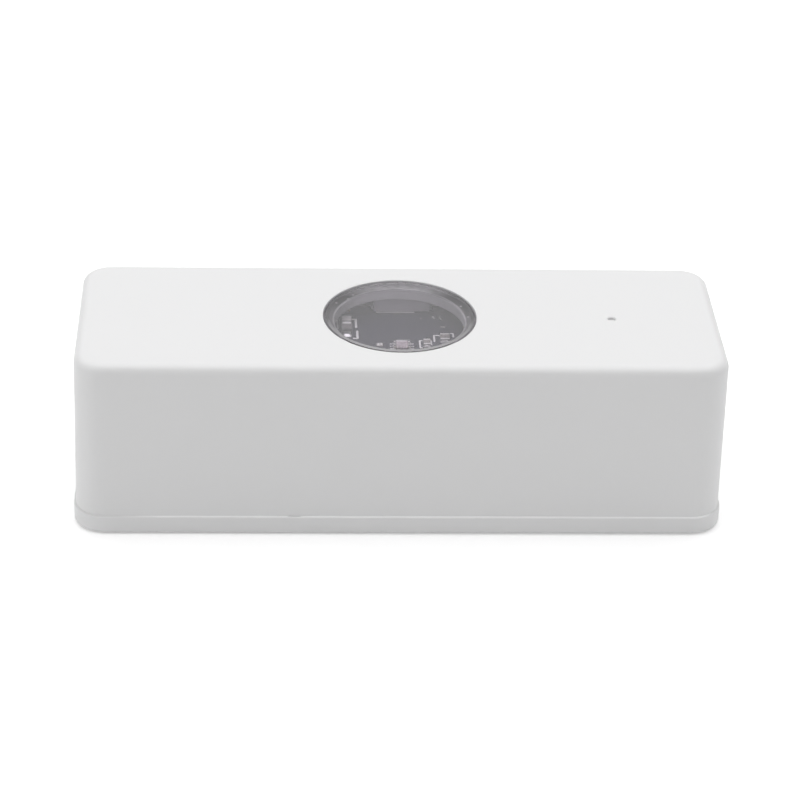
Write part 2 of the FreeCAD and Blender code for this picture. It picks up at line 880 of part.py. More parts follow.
def status_light():
    base_top = board_top + led_base_height
    light = centred_box(led_x, led_y, led_length, led_width, board_top, base_top)
    dome = centred_box(
        led_x, led_y, led_length - 2 * led_dome_inset, led_width, base_top, base_top + led_dome_height
    )
    return light.fuse(dome)


def plug_connector():
    """The white low connector, open at the back where a programming lead plugs in."""
    top = board_top + header_height
    middle_y = header_front_y + header_depth / 2
    body = centred_box(header_x, middle_y, header_length, header_depth, board_top, top)
    mouth = box(
        header_x - header_length / 2 + header_wall,
        header_x + header_length / 2 - header_wall,
        header_front_y + header_front_wall,
        header_front_y + header_depth + through,
        board_top + header_wall,
        top - header_wall,
    )
    return body.cut(mouth)


def plug_connector_pins():
    pins = []
    middle_z = board_top + header_height / 2
    for step in range(header_pin_count):
        x = header_x + (step - (header_pin_count - 1) / 2) * header_pin_pitch
        pins.append(
            box(
                x - header_pin_width / 2, x + header_pin_width / 2,
                header_front_y + header_front_wall, header_front_y + header_depth - header_pin_end_gap,
                middle_z - header_pin_width / 2, middle_z + header_pin_width / 2,
            )
        )
    return group(pins)


def radio_module_board():
    """The radio's own small board, with half-round solder notches along its long sides."""
    top = board_top + radio_board_thickness
    board = centred_box(radio_x, 0, radio_length, radio_depth, board_top, top)
    for y in (-radio_depth / 2, radio_depth / 2):
        for step in range(radio_notch_count):
            x = radio_x + (step - (radio_notch_count - 1) / 2) * radio_notch_pitch
            board = board.cut(cylinder(x, y, radio_notch_radius, board_top - through, top + through))
    return board


def radio_module_shield():
    """The pressed metal can over the radio, as a shell open towards its board."""
    bottom = board_top + radio_board_thickness
    top = bottom + radio_shield_height
    length = radio_length - 2 * radio_shield_inset_x
    depth = radio_depth - 2 * radio_shield_inset_y
    wall = radio_shield_thickness
    shield = centred_box(radio_x, 0, length, depth, bottom, top)
    shield = shield.makeFillet(radio_shield_edge_radius, level_edges(shield, top))
    inside = centred_box(radio_x, 0, length - 2 * wall, depth - 2 * wall, bottom - through, top - wall)
    return shield.cut(inside)


def antenna_point(turn):
    """A point on the antenna's coil, which winds down from just under the board."""
    angle = 2 * math.pi * turn
    return Vector(
        antenna_x - antenna_coil_radius * math.cos(angle),
        -antenna_coil_radius * math.sin(angle),
        board_bottom - antenna_leg_length - antenna_pitch * turn,
    )


def antenna_coil():
    """A sprung wire aerial: a straight leg through the board, then a coil of round turns."""
    arcs = []
    for step in range(antenna_turns * antenna_arcs_per_turn):
        first = antenna_point(step / antenna_arcs_per_turn)
        middle = antenna_point((step + 0.5) / antenna_arcs_per_turn)
        last = antenna_point((step + 1) / antenna_arcs_per_turn)
        arcs.append(Part.Arc(first, middle, last).toShape())
    start = antenna_point(0)
    section = Part.Wire([Part.makeCircle(antenna_wire_radius, start, Vector(0, 1, 0))])
    coil = Part.Wire(arcs).makePipeShell([section], True, False)
    elbow = Part.makeSphere(antenna_elbow_radius, start)
    leg = cylinder(start.x, start.y, antenna_wire_radius, start.z, board_top + antenna_leg_over_board)
    return coil.fuse(elbow).fuse(leg)


def microcontroller():
    bottom = board_top + controller_standoff
    top = bottom + controller_height
    chip = centred_box(controller_x, controller_y, controller_side, controller_side, bottom, top)
    return chip.makeChamfer(controller_edge_chamfer, level_edges(chip, top))


def microcontroller_leads():
    """Gull-wing leads along the four sides."""
    body_side = controller_side / 2
    shoulder = body_side + controller_lead_shoulder
    toe = shoulder + controller_lead_foot
    thickness = controller_lead_thickness
    middle = board_top + controller_standoff + controller_height / 2
    profile = [
        (body_side, middle),
        (shoulder, middle),
        (shoulder, board_top + thickness),
        (toe, board_top + thickness),
        (toe, board_top),
        (shoulder - thickness, board_top),
        (shoulder - thickness, middle - thickness),
        (body_side, middle - thickness),
    ]
    centre = Vector(controller_x, controller_y, 0)
    leads = []
    for step in range(controller_lead_count):
        low = (step - (controller_lead_count - 1) / 2) * controller_lead_pitch - controller_lead_width / 2
        lead = prism_along_x(profile, low, low + controller_lead_width)
        lead.translate(centre)
        for quarter in range(4):
            turned_lead = lead.copy()
            turned_lead.rotate(centre, up, 90 * quarter)
            leads.append(turned_lead)
    return group(leads)


def crystal():
    """The crystal's ceramic base and metal lid, as one sealed part."""
    base_top = board_top + crystal_base_height
    base = centred_box(controller_x, crystal_y, crystal_length, crystal_depth, board_top, base_top)
    lid_length = crystal_length - 2 * crystal_lid_inset
    lid_depth = crystal_depth - 2 * crystal_lid_inset
    lid_top = base_top + crystal_lid_height
    return base.fuse(centred_box(controller_x, crystal_y, lid_length, lid_depth, base_top, lid_top))


def bulk_capacitor_base():
    """The black square foot under the board, with two cut corners that mark its polarity."""
    side = 2 * (bulk_can_radius + bulk_base_margin)
    base = centred_box(bulk_x, 0, side, side, board_bottom - bulk_base_height, board_bottom)
    corners = []
    for edge in base.Edges:
        bounds = edge.BoundBox
        if bounds.ZLength > bulk_base_height / 2 and bounds.XMin > bulk_x:
            corners.append(edge)
    return base.makeChamfer(bulk_base_chamfer, corners)


def bulk_capacitor_can():
    """The aluminium can, with the rolled groove that grips its seal."""
    top = board_bottom - bulk_base_height
    bottom = top - bulk_can_length
    groove = top - bulk_groove_offset
    profile = [
        (0, top),
        (bulk_can_radius, top),
        (bulk_can_radius, groove),
        (bulk_can_radius - bulk_groove_depth, groove - bulk_groove_height / 2),
        (bulk_can_radius, groove - bulk_groove_height),
        (bulk_can_radius, bottom),
        (0, bottom),
    ]
    can = turned(bulk_x, 0, profile)
    return can.makeFillet(bulk_can_edge_radius, level_edges(can, bottom))


def switch_body():
    """The square black base of the key's switch, with a round cavity for its dome."""
    top = board_top + switch_body_height
    floor = board_top + switch_cavity_floor
    body = centred_box(key_x, key_y, switch_side, switch_side, board_top, top)
    return body.cut(cylinder(key_x, key_y, switch_cavity_radius, floor, top + through))


def switch_dome():
    """The snap disc that clicks and lifts the key again."""
    floor = board_top + switch_cavity_floor
    rise = switch_dome_rise
    sphere_radius = (switch_dome_radius ** 2 + rise ** 2) / (2 * rise)
    centre = Vector(key_x, key_y, floor + rise - sphere_radius)
    outer = Part.makeSphere(sphere_radius, centre)
    inner = Part.makeSphere(sphere_radius - switch_dome_thickness, centre)
    return outer.cut(inner).common(cylinder(key_x, key_y, switch_dome_radius, floor, floor + rise + through))


def switch_cover():
    """The pressed metal plate that holds the key in its switch."""
    bottom = board_top + switch_body_height
    top = bottom + switch_cover_thickness
    plate = centred_box(key_x, key_y, switch_side, switch_side, bottom, top)
    opening = key_stem_radius + key_stem_clearance
    return plate.cut(cylinder(key_x, key_y, opening, bottom - through, top + through))


def switch_terminals():
    top = board_top + switch_terminal_thickness
    half_width = switch_terminal_width / 2
    terminals = []
    for side in (-1, 1):
        x0, x1 = sided(side, switch_side / 2, switch_side / 2 + switch_terminal_reach)
        for y in (key_y - switch_terminal_pitch / 2, key_y + switch_terminal_pitch / 2):
            terminals.append(box(key_x + x0, key_x + x1, y - half_width, y + half_width, board_top, top))
    return group(terminals)


def function_key():
    """The little plunger, held in by its flange, with a nub on its dome and its tip in the pinhole."""
    nub_bottom = board_top + switch_cavity_floor + switch_dome_rise + key_flange_gap
    flange_bottom = nub_bottom + key_nub_height
    flange_top = board_top + switch_body_height - key_flange_gap
    stem_top = ceiling - key_top_gap
    tip_radius = key_hole_radius - key_tip_clearance
    key = cylinder(key_x, key_y, key_nub_radius, nub_bottom, flange_bottom)
    key = key.fuse(cylinder(key_x, key_y, key_flange_radius, flange_bottom, flange_top))
    key = key.fuse(cylinder(key_x, key_y, key_stem_radius, flange_top, stem_top))
    key = key.fuse(cylinder(key_x, key_y, tip_radius, stem_top, case_top - key_tip_recess))
    return key.removeSplitter()


nodes = {
    "bottom_cover": bottom_cover(),
    "snap_hooks": snap_hooks(),
    "mounting_tape": mounting_tape(),
    "top_housing": top_housing(),
    "window_lens": window_lens(),
    "lens_adhesive_ring": lens_adhesive_ring(),
    "circuit_board": circuit_board(),
    "board_screws": board_screws(),
    "battery_holder": battery_holder(),
    "negative_contacts": negative_contacts(),
    "positive_contacts": positive_contacts(),
    "light_sensor_package": light_sensor_package(),
    "light_sensor_die": light_sensor_die(),
    "light_sensor_leads": light_sensor_leads(),
    "tantalum_capacitor_body": tantalum_capacitor_body(),
    "tantalum_capacitor_tabs": tantalum_capacitor_tabs(),
    "chip_capacitors": chip_bodies(chip_capacitor_places),
    "chip_resistors": chip_bodies(chip_resistor_places),
    "chip_terminals": chip_terminals(),
    "status_light": status_light(),
    "plug_connector": plug_connector(),
    "plug_connector_pins": plug_connector_pins(),
    "radio_module_board": radio_module_board(),
    "radio_module_shield": radio_module_shield(),
    "antenna_coil": antenna_coil(),
    "microcontroller": microcontroller(),
    "microcontroller_leads": microcontroller_leads(),
    "crystal": crystal(),
    "bulk_capacitor_base": bulk_capacitor_base(),
    "bulk_capacitor_can": bulk_capacitor_can(),
    "switch_body": switch_body(),
    "switch_dome": switch_dome(),
    "switch_cover": switch_cover(),
    "switch_terminals": switch_terminals(),
    "function_key": function_key(),
}
for cell_name, cell_x in (("left_cell", -cell_offset), ("right_cell", cell_offset)):
    nodes[cell_name + "_can"] = cell_can(cell_x)
    nodes[cell_name + "_gasket"] = cell_gasket(cell_x)
    nodes[cell_name + "_cap"] = cell_cap(cell_x)
    nodes[cell_name + "_core"] = cell_core(cell_x)

os.makedirs("parts", exist_ok=True)
for name, shape in nodes.items():
    print(f"{name}: {len(shape.Solids)} solids, valid {shape.isValid()}, {shape.Volume:.1f} mm3")
    shape.exportStep(f"parts/{name}.step")
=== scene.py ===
import bmesh
import bpy
import math
from mathutils import Matrix, Vector


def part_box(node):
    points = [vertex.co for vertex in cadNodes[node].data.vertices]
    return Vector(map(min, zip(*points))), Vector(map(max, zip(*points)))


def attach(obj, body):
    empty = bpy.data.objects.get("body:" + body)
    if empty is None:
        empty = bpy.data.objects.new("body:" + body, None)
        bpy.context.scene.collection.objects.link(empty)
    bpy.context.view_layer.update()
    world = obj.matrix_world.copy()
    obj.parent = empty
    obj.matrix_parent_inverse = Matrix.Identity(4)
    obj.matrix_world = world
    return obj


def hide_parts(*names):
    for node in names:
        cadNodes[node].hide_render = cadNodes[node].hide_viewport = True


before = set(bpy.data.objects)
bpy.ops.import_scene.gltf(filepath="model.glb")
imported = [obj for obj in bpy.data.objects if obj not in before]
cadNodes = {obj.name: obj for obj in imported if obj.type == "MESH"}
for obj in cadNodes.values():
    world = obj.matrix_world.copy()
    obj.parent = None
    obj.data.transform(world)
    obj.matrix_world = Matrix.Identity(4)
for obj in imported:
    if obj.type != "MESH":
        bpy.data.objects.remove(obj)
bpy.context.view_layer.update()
mm = 0.001
print("frame loaded:", len(cadNodes), "nodes")


# Camera, at the photograph's viewing angle
camera = {
    "place": (-0.016557, -0.312234, 0.189271),
    "right": (0.998886, -0.038687, 0.027023),
    "up": (-0.004312, 0.495428, 0.868638),
    "forward": (0.046993, 0.867787, -0.494709),
    "lens": 127.28, "sensorWidth": 36.0, "near": 0.01, "far": 20.0,
}


def addObject(name, data):
    thing = bpy.data.objects.new(name, data)
    bpy.context.scene.collection.objects.link(thing)
    return thing


def makeCamera():
    data = bpy.data.cameras.new("studioCamera")
    data.lens = camera["lens"]
    data.sensor_width = camera["sensorWidth"]
    data.clip_start = camera["near"]
    data.clip_end = camera["far"]
    eye = addObject("studioCamera", data)
    turn = Matrix((camera["right"], camera["up"], -Vector(camera["forward"]))).transposed()
    eye.matrix_world = Matrix.Translation(camera["place"]) @ turn.to_4x4()
    bpy.context.scene.camera = eye
    bpy.context.scene.view_settings.view_transform = "Standard"


makeCamera()


# Places read from the frame, in millimetres
def boxOf(node):
    lowest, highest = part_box(node)
    return lowest / mm, highest / mm


def middleOf(node):
    lowest, highest = boxOf(node)
    return (lowest + highest) / 2


cells = ("left_cell", "right_cell")
boardLow, boardHigh = boxOf("circuit_board")
caseLow, caseHigh = boxOf("top_housing")
boardTop = boardHigh.z
boardBottom = boardLow.z


# Short forms for node trees: inputs are fed by label or number, from a socket or with a plain value
def feed(tree, source, socket):
    if isinstance(source, bpy.types.NodeSocket):
        tree.links.new(source, socket)
    elif isinstance(source, tuple) and socket.type == "RGBA":
        socket.default_value = (*source, 1.0)
    else:
        socket.default_value = source


def feedAll(tree, node, inputs):
    for key, source in inputs.items():
        feed(tree, source, node.inputs[key])


def add(tree, kind, inputs=None, **settings):
    node = tree.nodes.new(kind)
    for name, value in settings.items():
        setattr(node, name, value)
    feedAll(tree, node, inputs or {})
    return node


def newTree(name, treeKind, inputs, outputs):
    tree = bpy.data.node_groups.new(name, treeKind)
    for direction, sockets in (("INPUT", inputs), ("OUTPUT", outputs)):
        for label, kind in sockets.items():
            tree.interface.new_socket(name=label, in_out=direction, socket_type="NodeSocket" + kind)
    return tree, add(tree, "NodeGroupInput").outputs, add(tree, "NodeGroupOutput").inputs


def maths(tree, operation, first, second, clamp=False):
    node = add(tree, "ShaderNodeMath", {0: first, 1: second}, operation=operation, use_clamp=clamp)
    return node.outputs[0]


def scaled(tree, value, factor, base):  # value times factor, plus base
    return maths(tree, "ADD", maths(tree, "MULTIPLY", value, factor), base)


def vectorMaths(tree, operation, first, second=(0.0, 0.0, 0.0)):
    node = add(tree, "ShaderNodeVectorMath", {0: first, 1: second}, operation=operation)
    return node.outputs["Value" if operation == "LENGTH" else "Vector"]


def mixColour(tree, factor, first, second):
    return add(tree, "ShaderNodeMix", {0: factor, 6: first, 7: second}, data_type="RGBA").outputs[2]


def smoothStep(tree, value, start, end):
    inputs = {"From Min": start, "From Max": end, "Value": value}
    return add(tree, "ShaderNodeMapRange", inputs, interpolation_type="SMOOTHSTEP").outputs["Result"]


def objectPlace(tree):
    return add(tree, "ShaderNodeTexCoord").outputs["Object"]


def axesOf(tree, place):
    return add(tree, "ShaderNodeSeparateXYZ", {0: place}).outputs


def noise(tree, place, scale, detail=2.0):
    inputs = {"Vector": place, "Scale": scale, "Detail": detail}
    return add(tree, "ShaderNodeTexNoise", inputs).outputs["Fac"]


def fromAxis(tree, place, centre=(0.0, 0.0, 0.0)):  # distance from an upright axis
    away = vectorMaths(tree, "SUBTRACT", place, centre)
    return vectorMaths(tree, "LENGTH", vectorMaths(tree, "MULTIPLY", away, (1.0, 1.0, 0.0)))


# Surface grain: fine pits or scratches, with a slow drift of tone and gloss
def makeGrainGroup():
    inputs = {"Tone": "Color", "Tone Drift": "Float", "Gloss": "Float", "Gloss Drift": "Float",
              "Drift Scale": "Float", "Grain Scale": "Float", "Stretch": "Vector"}
    outputs = {"Colour": "Color", "Roughness": "Float", "Height": "Float"}
    tree, given, made = newTree("surfaceGrain", "ShaderNodeTree", inputs, outputs)
    place = vectorMaths(tree, "MULTIPLY", objectPlace(tree), given["Stretch"])
    grain = noise(tree, place, given["Grain Scale"], 3.0)
    drift = noise(tree, place, given["Drift Scale"])
    slow = maths(tree, "MULTIPLY", maths(tree, "SUBTRACT", drift, 0.5), 2.0)
    fine = maths(tree, "MULTIPLY", maths(tree, "SUBTRACT", grain, 0.5), 0.6)
    swing = maths(tree, "ADD", slow, fine)
    level = scaled(tree, swing, given["Tone Drift"], 1.0)
    shade = add(tree, "ShaderNodeVectorMath", {0: given["Tone"], "Scale": level}, operation="SCALE")
    feed(tree, shade.outputs[0], made["Colour"])
    glossSwing = maths(tree, "MULTIPLY", swing, given["Gloss Drift"])
    feed(tree, maths(tree, "ADD", given["Gloss"], glossSwing, clamp=True), made["Roughness"])
    feed(tree, grain, made["Height"])
    return tree


# Sparse specks, such as pores or bubbles
def makeSpeckGroup():
    inputs = {"Speck Scale": "Float", "Speck Size": "Float", "Share": "Float"}
    tree, given, made = newTree("specks", "ShaderNodeTree", inputs, {"Mask": "Float"})
    spread = {"Vector": objectPlace(tree), "Scale": given["Speck Scale"]}
    spots = add(tree, "ShaderNodeTexVoronoi", spread, feature="F1")
    dot = maths(tree, "LESS_THAN", spots.outputs["Distance"], given["Speck Size"])
    pick = add(tree, "ShaderNodeSeparateColor", {0: spots.outputs["Color"]})
    chosen = maths(tree, "LESS_THAN", pick.outputs[0], given["Share"])
    feed(tree, maths(tree, "MULTIPLY", dot, chosen), made["Mask"])
    return tree


# Rings left by turning or deep drawing, about an upright axis
def makeRingGroup():
    inputs = {"Centre": "Vector", "Ring Scale": "Float"}
    tree, given, made = newTree("turnedRings", "ShaderNodeTree", inputs, {"Height": "Float"})
    place = objectPlace(tree)
    waver = maths(tree, "MULTIPLY", noise(tree, place, 250.0), 0.4 * mm)
    reach = maths(tree, "ADD", fromAxis(tree, place, given["Centre"]), waver)
    feed(tree, maths(tree, "SINE", maths(tree, "MULTIPLY", reach, given["Ring Scale"]), 0.0), made["Height"])
    return tree


grainGroup = makeGrainGroup()
speckGroup = makeSpeckGroup()
ringGroup = makeRingGroup()


# A finish: linear tone, gloss (which is roughness), tone drift, then drift, grain and relief in millimetres
def look(tone, gloss, toneDrift, drift, grain, relief, **others):
    usual = {"glossDrift": 0.06, "metallic": 0.0, "stretch": (1.0, 1.0, 1.0)}
    given = {"tone": tone, "gloss": gloss, "toneDrift": toneDrift, "drift": drift, "grain": grain}
    return {**usual, **given, "relief": relief, **others}


def metal(tone, gloss, drift, grain, relief, **others):
    return look(tone, gloss, 0.05, drift, grain, relief, metallic=1.0, **others)


finishes = {
    "caseWhite": look((0.825, 0.825, 0.828), 0.42, 0.006, 14.0, 0.16, 0.004, glossDrift=0.03),
    "laminateEdge": look((0.16, 0.14, 0.085), 0.7, 0.3, 1.0, 0.08, 0.02, stretch=(1.0, 1.0, 9.0)),
    "trackMask": look((0.024, 0.024, 0.036), 0.46, 0.06, 2.0, 0.12, 0.01),
    "inkWhite": look((0.80, 0.80, 0.78), 0.55, 0.12, 0.5, 0.1, 0.01),
    "inkGrey": look((0.40, 0.385, 0.36), 0.5, 0.2, 0.4, 0.08, 0.01),
    "inkBlack": look((0.02, 0.02, 0.022), 0.45, 0.2, 0.6, 0.1, 0.01),
    "contactPale": look((0.78, 0.76, 0.77), 0.38, 0.1, 0.3, 0.06, 0.01),
    "bandGrey": look((0.54, 0.52, 0.51), 0.5, 0.15, 0.5, 0.1, 0.01),
    "solder": metal((0.80, 0.80, 0.79), 0.24, 0.4, 0.12, 0.01, glossDrift=0.12),
    "solderDull": metal((0.72, 0.72, 0.71), 0.36, 0.4, 0.12, 0.01, glossDrift=0.12),
    "solderGrey": metal((0.42, 0.41, 0.41), 0.46, 0.4, 0.12, 0.01, glossDrift=0.12),
    "tinPlate": metal((0.76, 0.75, 0.73), 0.3, 0.6, 0.08, 0.006),
    "goldPlate": metal((0.85, 0.66, 0.40), 0.24, 0.8, 0.08, 0.004),
    "springSteel": metal((0.62, 0.61, 0.58), 0.3, 2.0, 0.07, 0.006, stretch=(0.2, 3.0, 3.0)),
    "screwSteel": metal((0.60, 0.60, 0.60), 0.28, 1.0, 0.1, 0.01),
    "shieldSteel": metal((0.66, 0.65, 0.62), 0.36, 3.0, 0.09, 0.008, stretch=(0.15, 4.0, 4.0)),
    "bronzeWire": metal((0.72, 0.42, 0.24), 0.28, 1.5, 0.09, 0.008),
    "epoxyBlack": look((0.022, 0.022, 0.024), 0.5, 0.15, 2.0, 0.09, 0.02),
    "tantalumEpoxy": look((0.14, 0.128, 0.13), 0.45, 0.55, 0.5, 0.12, 0.02),
    "ceramicTan": look((0.19, 0.172, 0.162), 0.42, 0.12, 0.5, 0.06, 0.008),
    "resistorGlaze": look((0.02, 0.021, 0.024), 0.2, 0.2, 0.5, 0.08, 0.006),
    "nylonPale": look((0.62, 0.585, 0.64), 0.5, 0.04, 2.0, 0.1, 0.015),
    "nylonBlack": look((0.025, 0.025, 0.027), 0.46, 0.12, 6.0, 0.12, 0.02),
    "nylonWhite": look((0.80, 0.80, 0.80), 0.45, 0.02, 3.0, 0.1, 0.01),
    "radioMask": look((0.012, 0.085, 0.05), 0.32, 0.1, 2.0, 0.1, 0.01),
    "cellSeal": look((0.55, 0.54, 0.50), 0.35, 0.05, 3.0, 0.1, 0.01),
    "cellPowder": look((0.04, 0.04, 0.042), 0.85, 0.3, 1.0, 0.1, 0.03),
    "linerPaper": look((0.60, 0.52, 0.36), 0.38, 0.05, 8.0, 0.25, 0.02),
}
materials = {}


def startMaterial(name):
    material = bpy.data.materials.new(name)
    material.use_nodes = True
    materials[name] = material
    nodes = material.node_tree.nodes
    return material.node_tree, nodes["Principled BSDF"], nodes["Material Output"]


def startGrained(name, spec):
    tree, shader, _ = startMaterial(name)
    grain = add(tree, "ShaderNodeGroup", {
        "Tone": spec["tone"], "Tone Drift": spec["toneDrift"],
        "Gloss": spec["gloss"], "Gloss Drift": spec["glossDrift"],
        "Drift Scale": 1.0 / (spec["drift"] * mm), "Grain Scale": 1.0 / (spec["grain"] * mm),
        "Stretch": spec["stretch"],
    }, node_tree=grainGroup)
    feedAll(tree, shader, {"Base Color": grain.outputs["Colour"], "Roughness": grain.outputs["Roughness"],
                           "Metallic": spec["metallic"]})
    return tree, shader, grain


def relieve(tree, shader, height, depth, strength=0.35):  # depth in millimetres
    bump = add(tree, "ShaderNodeBump", {"Strength": strength, "Distance": depth * mm, "Height": height})
    feed(tree, bump.outputs[0], shader.inputs["Normal"])


def makeFinish(name, spec):
    tree, shader, grain = startGrained(name, spec)
    relieve(tree, shader, grain.outputs["Height"], spec["relief"])
    return tree, grain


def makeClear(tree, shader, output, tint, bending):  # lamps and soft light pass clear plastic straight
    feedAll(tree, shader, {"IOR": bending, "Transmission Weight": 1.0})
    clear = add(tree, "ShaderNodeBsdfTransparent", {0: tuple(math.sqrt(part) for part in tint)})
    rays = add(tree, "ShaderNodeLightPath").outputs
    soft = maths(tree, "MAXIMUM", rays["Is Shadow Ray"], rays["Is Diffuse Ray"])
    mix = add(tree, "ShaderNodeMixShader", {0: soft, 1: shader.outputs[0], 2: clear.outputs[0]})
    feed(tree, mix.outputs[0], output.inputs[0])


def addSpecks(tree, scale, size, share):
    inputs = {"Speck Scale": scale, "Speck Size": size, "Share": share}
    return add(tree, "ShaderNodeGroup", inputs, node_tree=speckGroup).outputs[0]


def toneAlong(tree, axis, tones, tint=(1.0, 0.98, 1.01)):
    # tones blended between places on one axis, in millimetres
    first = tones[0][0]
    last = tones[-1][0]
    spread = add(tree, "ShaderNodeMapRange", {"From Min": first * mm, "From Max": last * mm, "Value": axis})
    ramp = add(tree, "ShaderNodeValToRGB", {0: spread.outputs[0]})
    while len(ramp.color_ramp.elements) < len(tones):
        ramp.color_ramp.elements.new(0.5)
    for element, (where, tone) in zip(ramp.color_ramp.elements, tones):
        element.position = (where - first) / (last - first)
        element.color = (*[tone * part for part in tint], 1.0)
    return ramp.outputs["Color"]


# Smoked window: polished faces with faint smears, and a duller moulded rim
windowLook = {"tint": (0.86, 0.835, 0.88), "bending": 1.49, "gloss": 0.02, "smear": 0.03,
              "rimGloss": 0.12, "rimFrom": 9.14, "rimTo": 9.24}


def makeSmokedWindow():
    tree, shader, output = startMaterial("smokedWindow")
    place = objectPlace(tree)
    rim = smoothStep(tree, fromAxis(tree, place), windowLook["rimFrom"] * mm, windowLook["rimTo"] * mm)
    smear = smoothStep(tree, noise(tree, place, 200.0, 3.0), 0.55, 0.85)
    rimRough = maths(tree, "MULTIPLY", rim, windowLook["rimGloss"])
    rough = maths(tree, "ADD", scaled(tree, smear, windowLook["smear"], rimRough), windowLook["gloss"])
    feedAll(tree, shader, {"Base Color": windowLook["tint"], "Roughness": rough})
    makeClear(tree, shader, output, windowLook["tint"], windowLook["bending"])


# Dull faces whose tone changes along one axis, x (0) or y (1): (place in millimetres, tone).
# The window bevel's grey edge is painted paler towards the front, a painted highlight where the bevel catches
# the light; the sleeve under it is painted lighter at its far side's middle and darker towards its ends, most
# at the left, as painted light and shade
dullLooks = {
    "paintedSheenBevel": {"axis": 1, "haze": 4000.0, "darker": 0.12, "gloss": 0.45, "glossDrift": 0.15,
                   "tones": [(-8.0, 0.40), (-2.6, 0.30), (-1.0, 0.17), (9.6, 0.15)]},
    "baffleGrey": {"axis": 0, "haze": 900.0, "darker": 0.15, "gloss": 0.5, "glossDrift": 0.1,
                   "tones": [(-7.5, 0.17), (-4.4, 0.56), (-1.5, 0.66), (2.5, 0.58), (5.0, 0.43),
                             (7.5, 0.36)]},
}


def makeDull(name, spec):
    tree, shader, _ = startMaterial(name)
    place = objectPlace(tree)
    tone = toneAlong(tree, axesOf(tree, place)[spec["axis"]], spec["tones"])
    haze = noise(tree, place, spec["haze"], 3.0)
    darker = mixColour(tree, spec["darker"], tone, (0.0, 0.0, 0.0))
    feedAll(tree, shader, {"Base Color": mixColour(tree, haze, tone, darker),
                           "Roughness": scaled(tree, haze, spec["glossDrift"], spec["gloss"])})
    relieve(tree, shader, haze, 0.01)


# Seam lip in the case's white, painted lighter than the case along its middle as a painted highlight, and
# darker towards the case's ends as painted shade, so that its light line shows less there: (x in millimetres,
# tone)
lipLook = {**finishes["caseWhite"], "gloss": 0.36}
lipLightAndShadeTones = [(-35.5, 0.76), (-30.0, 0.93), (38.4, 0.93), (39.6, 0.76)]


def makeLipPaintedLight():
    tree, grain = makeFinish("lipWhitePaintedLight", lipLook)
    x = axesOf(tree, objectPlace(tree))[0]
    feed(tree, toneAlong(tree, x, lipLightAndShadeTones, (1.0, 1.0, 1.0)), grain.inputs["Tone"])


# Clear epoxy, a little cloudy, of the sensor chip and the status light
def makeClearEpoxy(name, tint, gloss):
    tree, shader, output = startMaterial(name)
    cloud = noise(tree, objectPlace(tree), 1700.0, 3.0)
    darker = tuple(0.9 * part for part in tint)
    feedAll(tree, shader, {"Base Color": mixColour(tree, cloud, tint, darker),
                           "Roughness": scaled(tree, cloud, 0.06, gloss)})
    makeClear(tree, shader, output, tint, 1.52)


# Solder mask on woven glass cloth
def makeBoardMask():
    tree, shader, grain = startGrained("boardMask", look((0.017, 0.016, 0.036), 0.5, 0.06, 3.0, 0.14, 0.01))
    weave = add(tree, "ShaderNodeTexWave", {"Vector": objectPlace(tree), "Scale": 900.0, "Distortion": 1.5},
                wave_type="BANDS", bands_direction="DIAGONAL")
    shader.inputs["Specular IOR Level"].default_value = 0.3
    relieve(tree, shader, scaled(tree, weave.outputs["Fac"], 0.25, grain.outputs["Height"]), 0.01)


# Black adhesive under the window, a little darker in random patches and pale at its bubbles. Its tone is
# painted lighter at the front and the back and darker in between, as painted light and shade, and the bead
# along its inner edge is painted paler, most at the back, as a painted highlight; tones go from front to
# back, (y in millimetres, tone)
adhesiveLook = {
    "lift": (0.45, 0.44, 0.45), "beadFrom": 8.34, "beadTo": 8.46, "gloss": 0.35,
    "beadHighlightTones": [(-9.0, 0.30), (3.0, 0.35), (6.0, 0.38), (8.3, 0.52)],
    "tones": [(-9.0, 0.34), (-5.5, 0.26), (-2.0, 0.19), (0.5, 0.18), (4.5, 0.09), (6.2, 0.09), (8.4, 0.42)],
}


def makeAdhesive():
    tree, shader, _ = startMaterial("blackAdhesive")
    place = objectPlace(tree)
    y = axesOf(tree, place)[1]
    ends = adhesiveLook["beadFrom"] * mm, adhesiveLook["beadTo"] * mm
    offBead = smoothStep(tree, fromAxis(tree, place), *ends)
    tone = mixColour(tree, offBead, toneAlong(tree, y, adhesiveLook["beadHighlightTones"]),
                     toneAlong(tree, y, adhesiveLook["tones"]))
    patch = smoothStep(tree, noise(tree, place, 900.0, 4.0), 0.35, 0.75)
    tone = mixColour(tree, patch, tone, mixColour(tree, 0.25, tone, (0.0, 0.0, 0.0)))
    bubbles = addSpecks(tree, scale=1400.0, size=0.22, share=0.12)
    feedAll(tree, shader, {"Base Color": mixColour(tree, bubbles, tone, adhesiveLook["lift"]),
                           "Roughness": scaled(tree, patch, 0.25, adhesiveLook["gloss"])})
    relieve(tree, shader, patch, 0.02)


# Silicon die: a grid of photodiodes with a pinkish sheen
dieLook = {"diode": (0.42, 0.34, 0.37), "street": (0.24, 0.20, 0.22), "pitch": 0.36, "streetWidth": 0.05}


def makeDieSilicon():
    tree, shader, _ = startMaterial("dieSilicon")
    halfPitch = 0.5 * dieLook["pitch"] * mm
    halfStreet = 0.5 * dieLook["streetWidth"] * mm
    streets = [maths(tree, "LESS_THAN", maths(tree, "PINGPONG", axis, halfPitch), halfStreet)
               for axis in axesOf(tree, objectPlace(tree))[:2]]
    street = maths(tree, "MAXIMUM", *streets)
    feedAll(tree, shader, {"Base Color": mixColour(tree, street, dieLook["diode"], dieLook["street"]),
                           "Roughness": scaled(tree, street, 0.2, 0.25)})


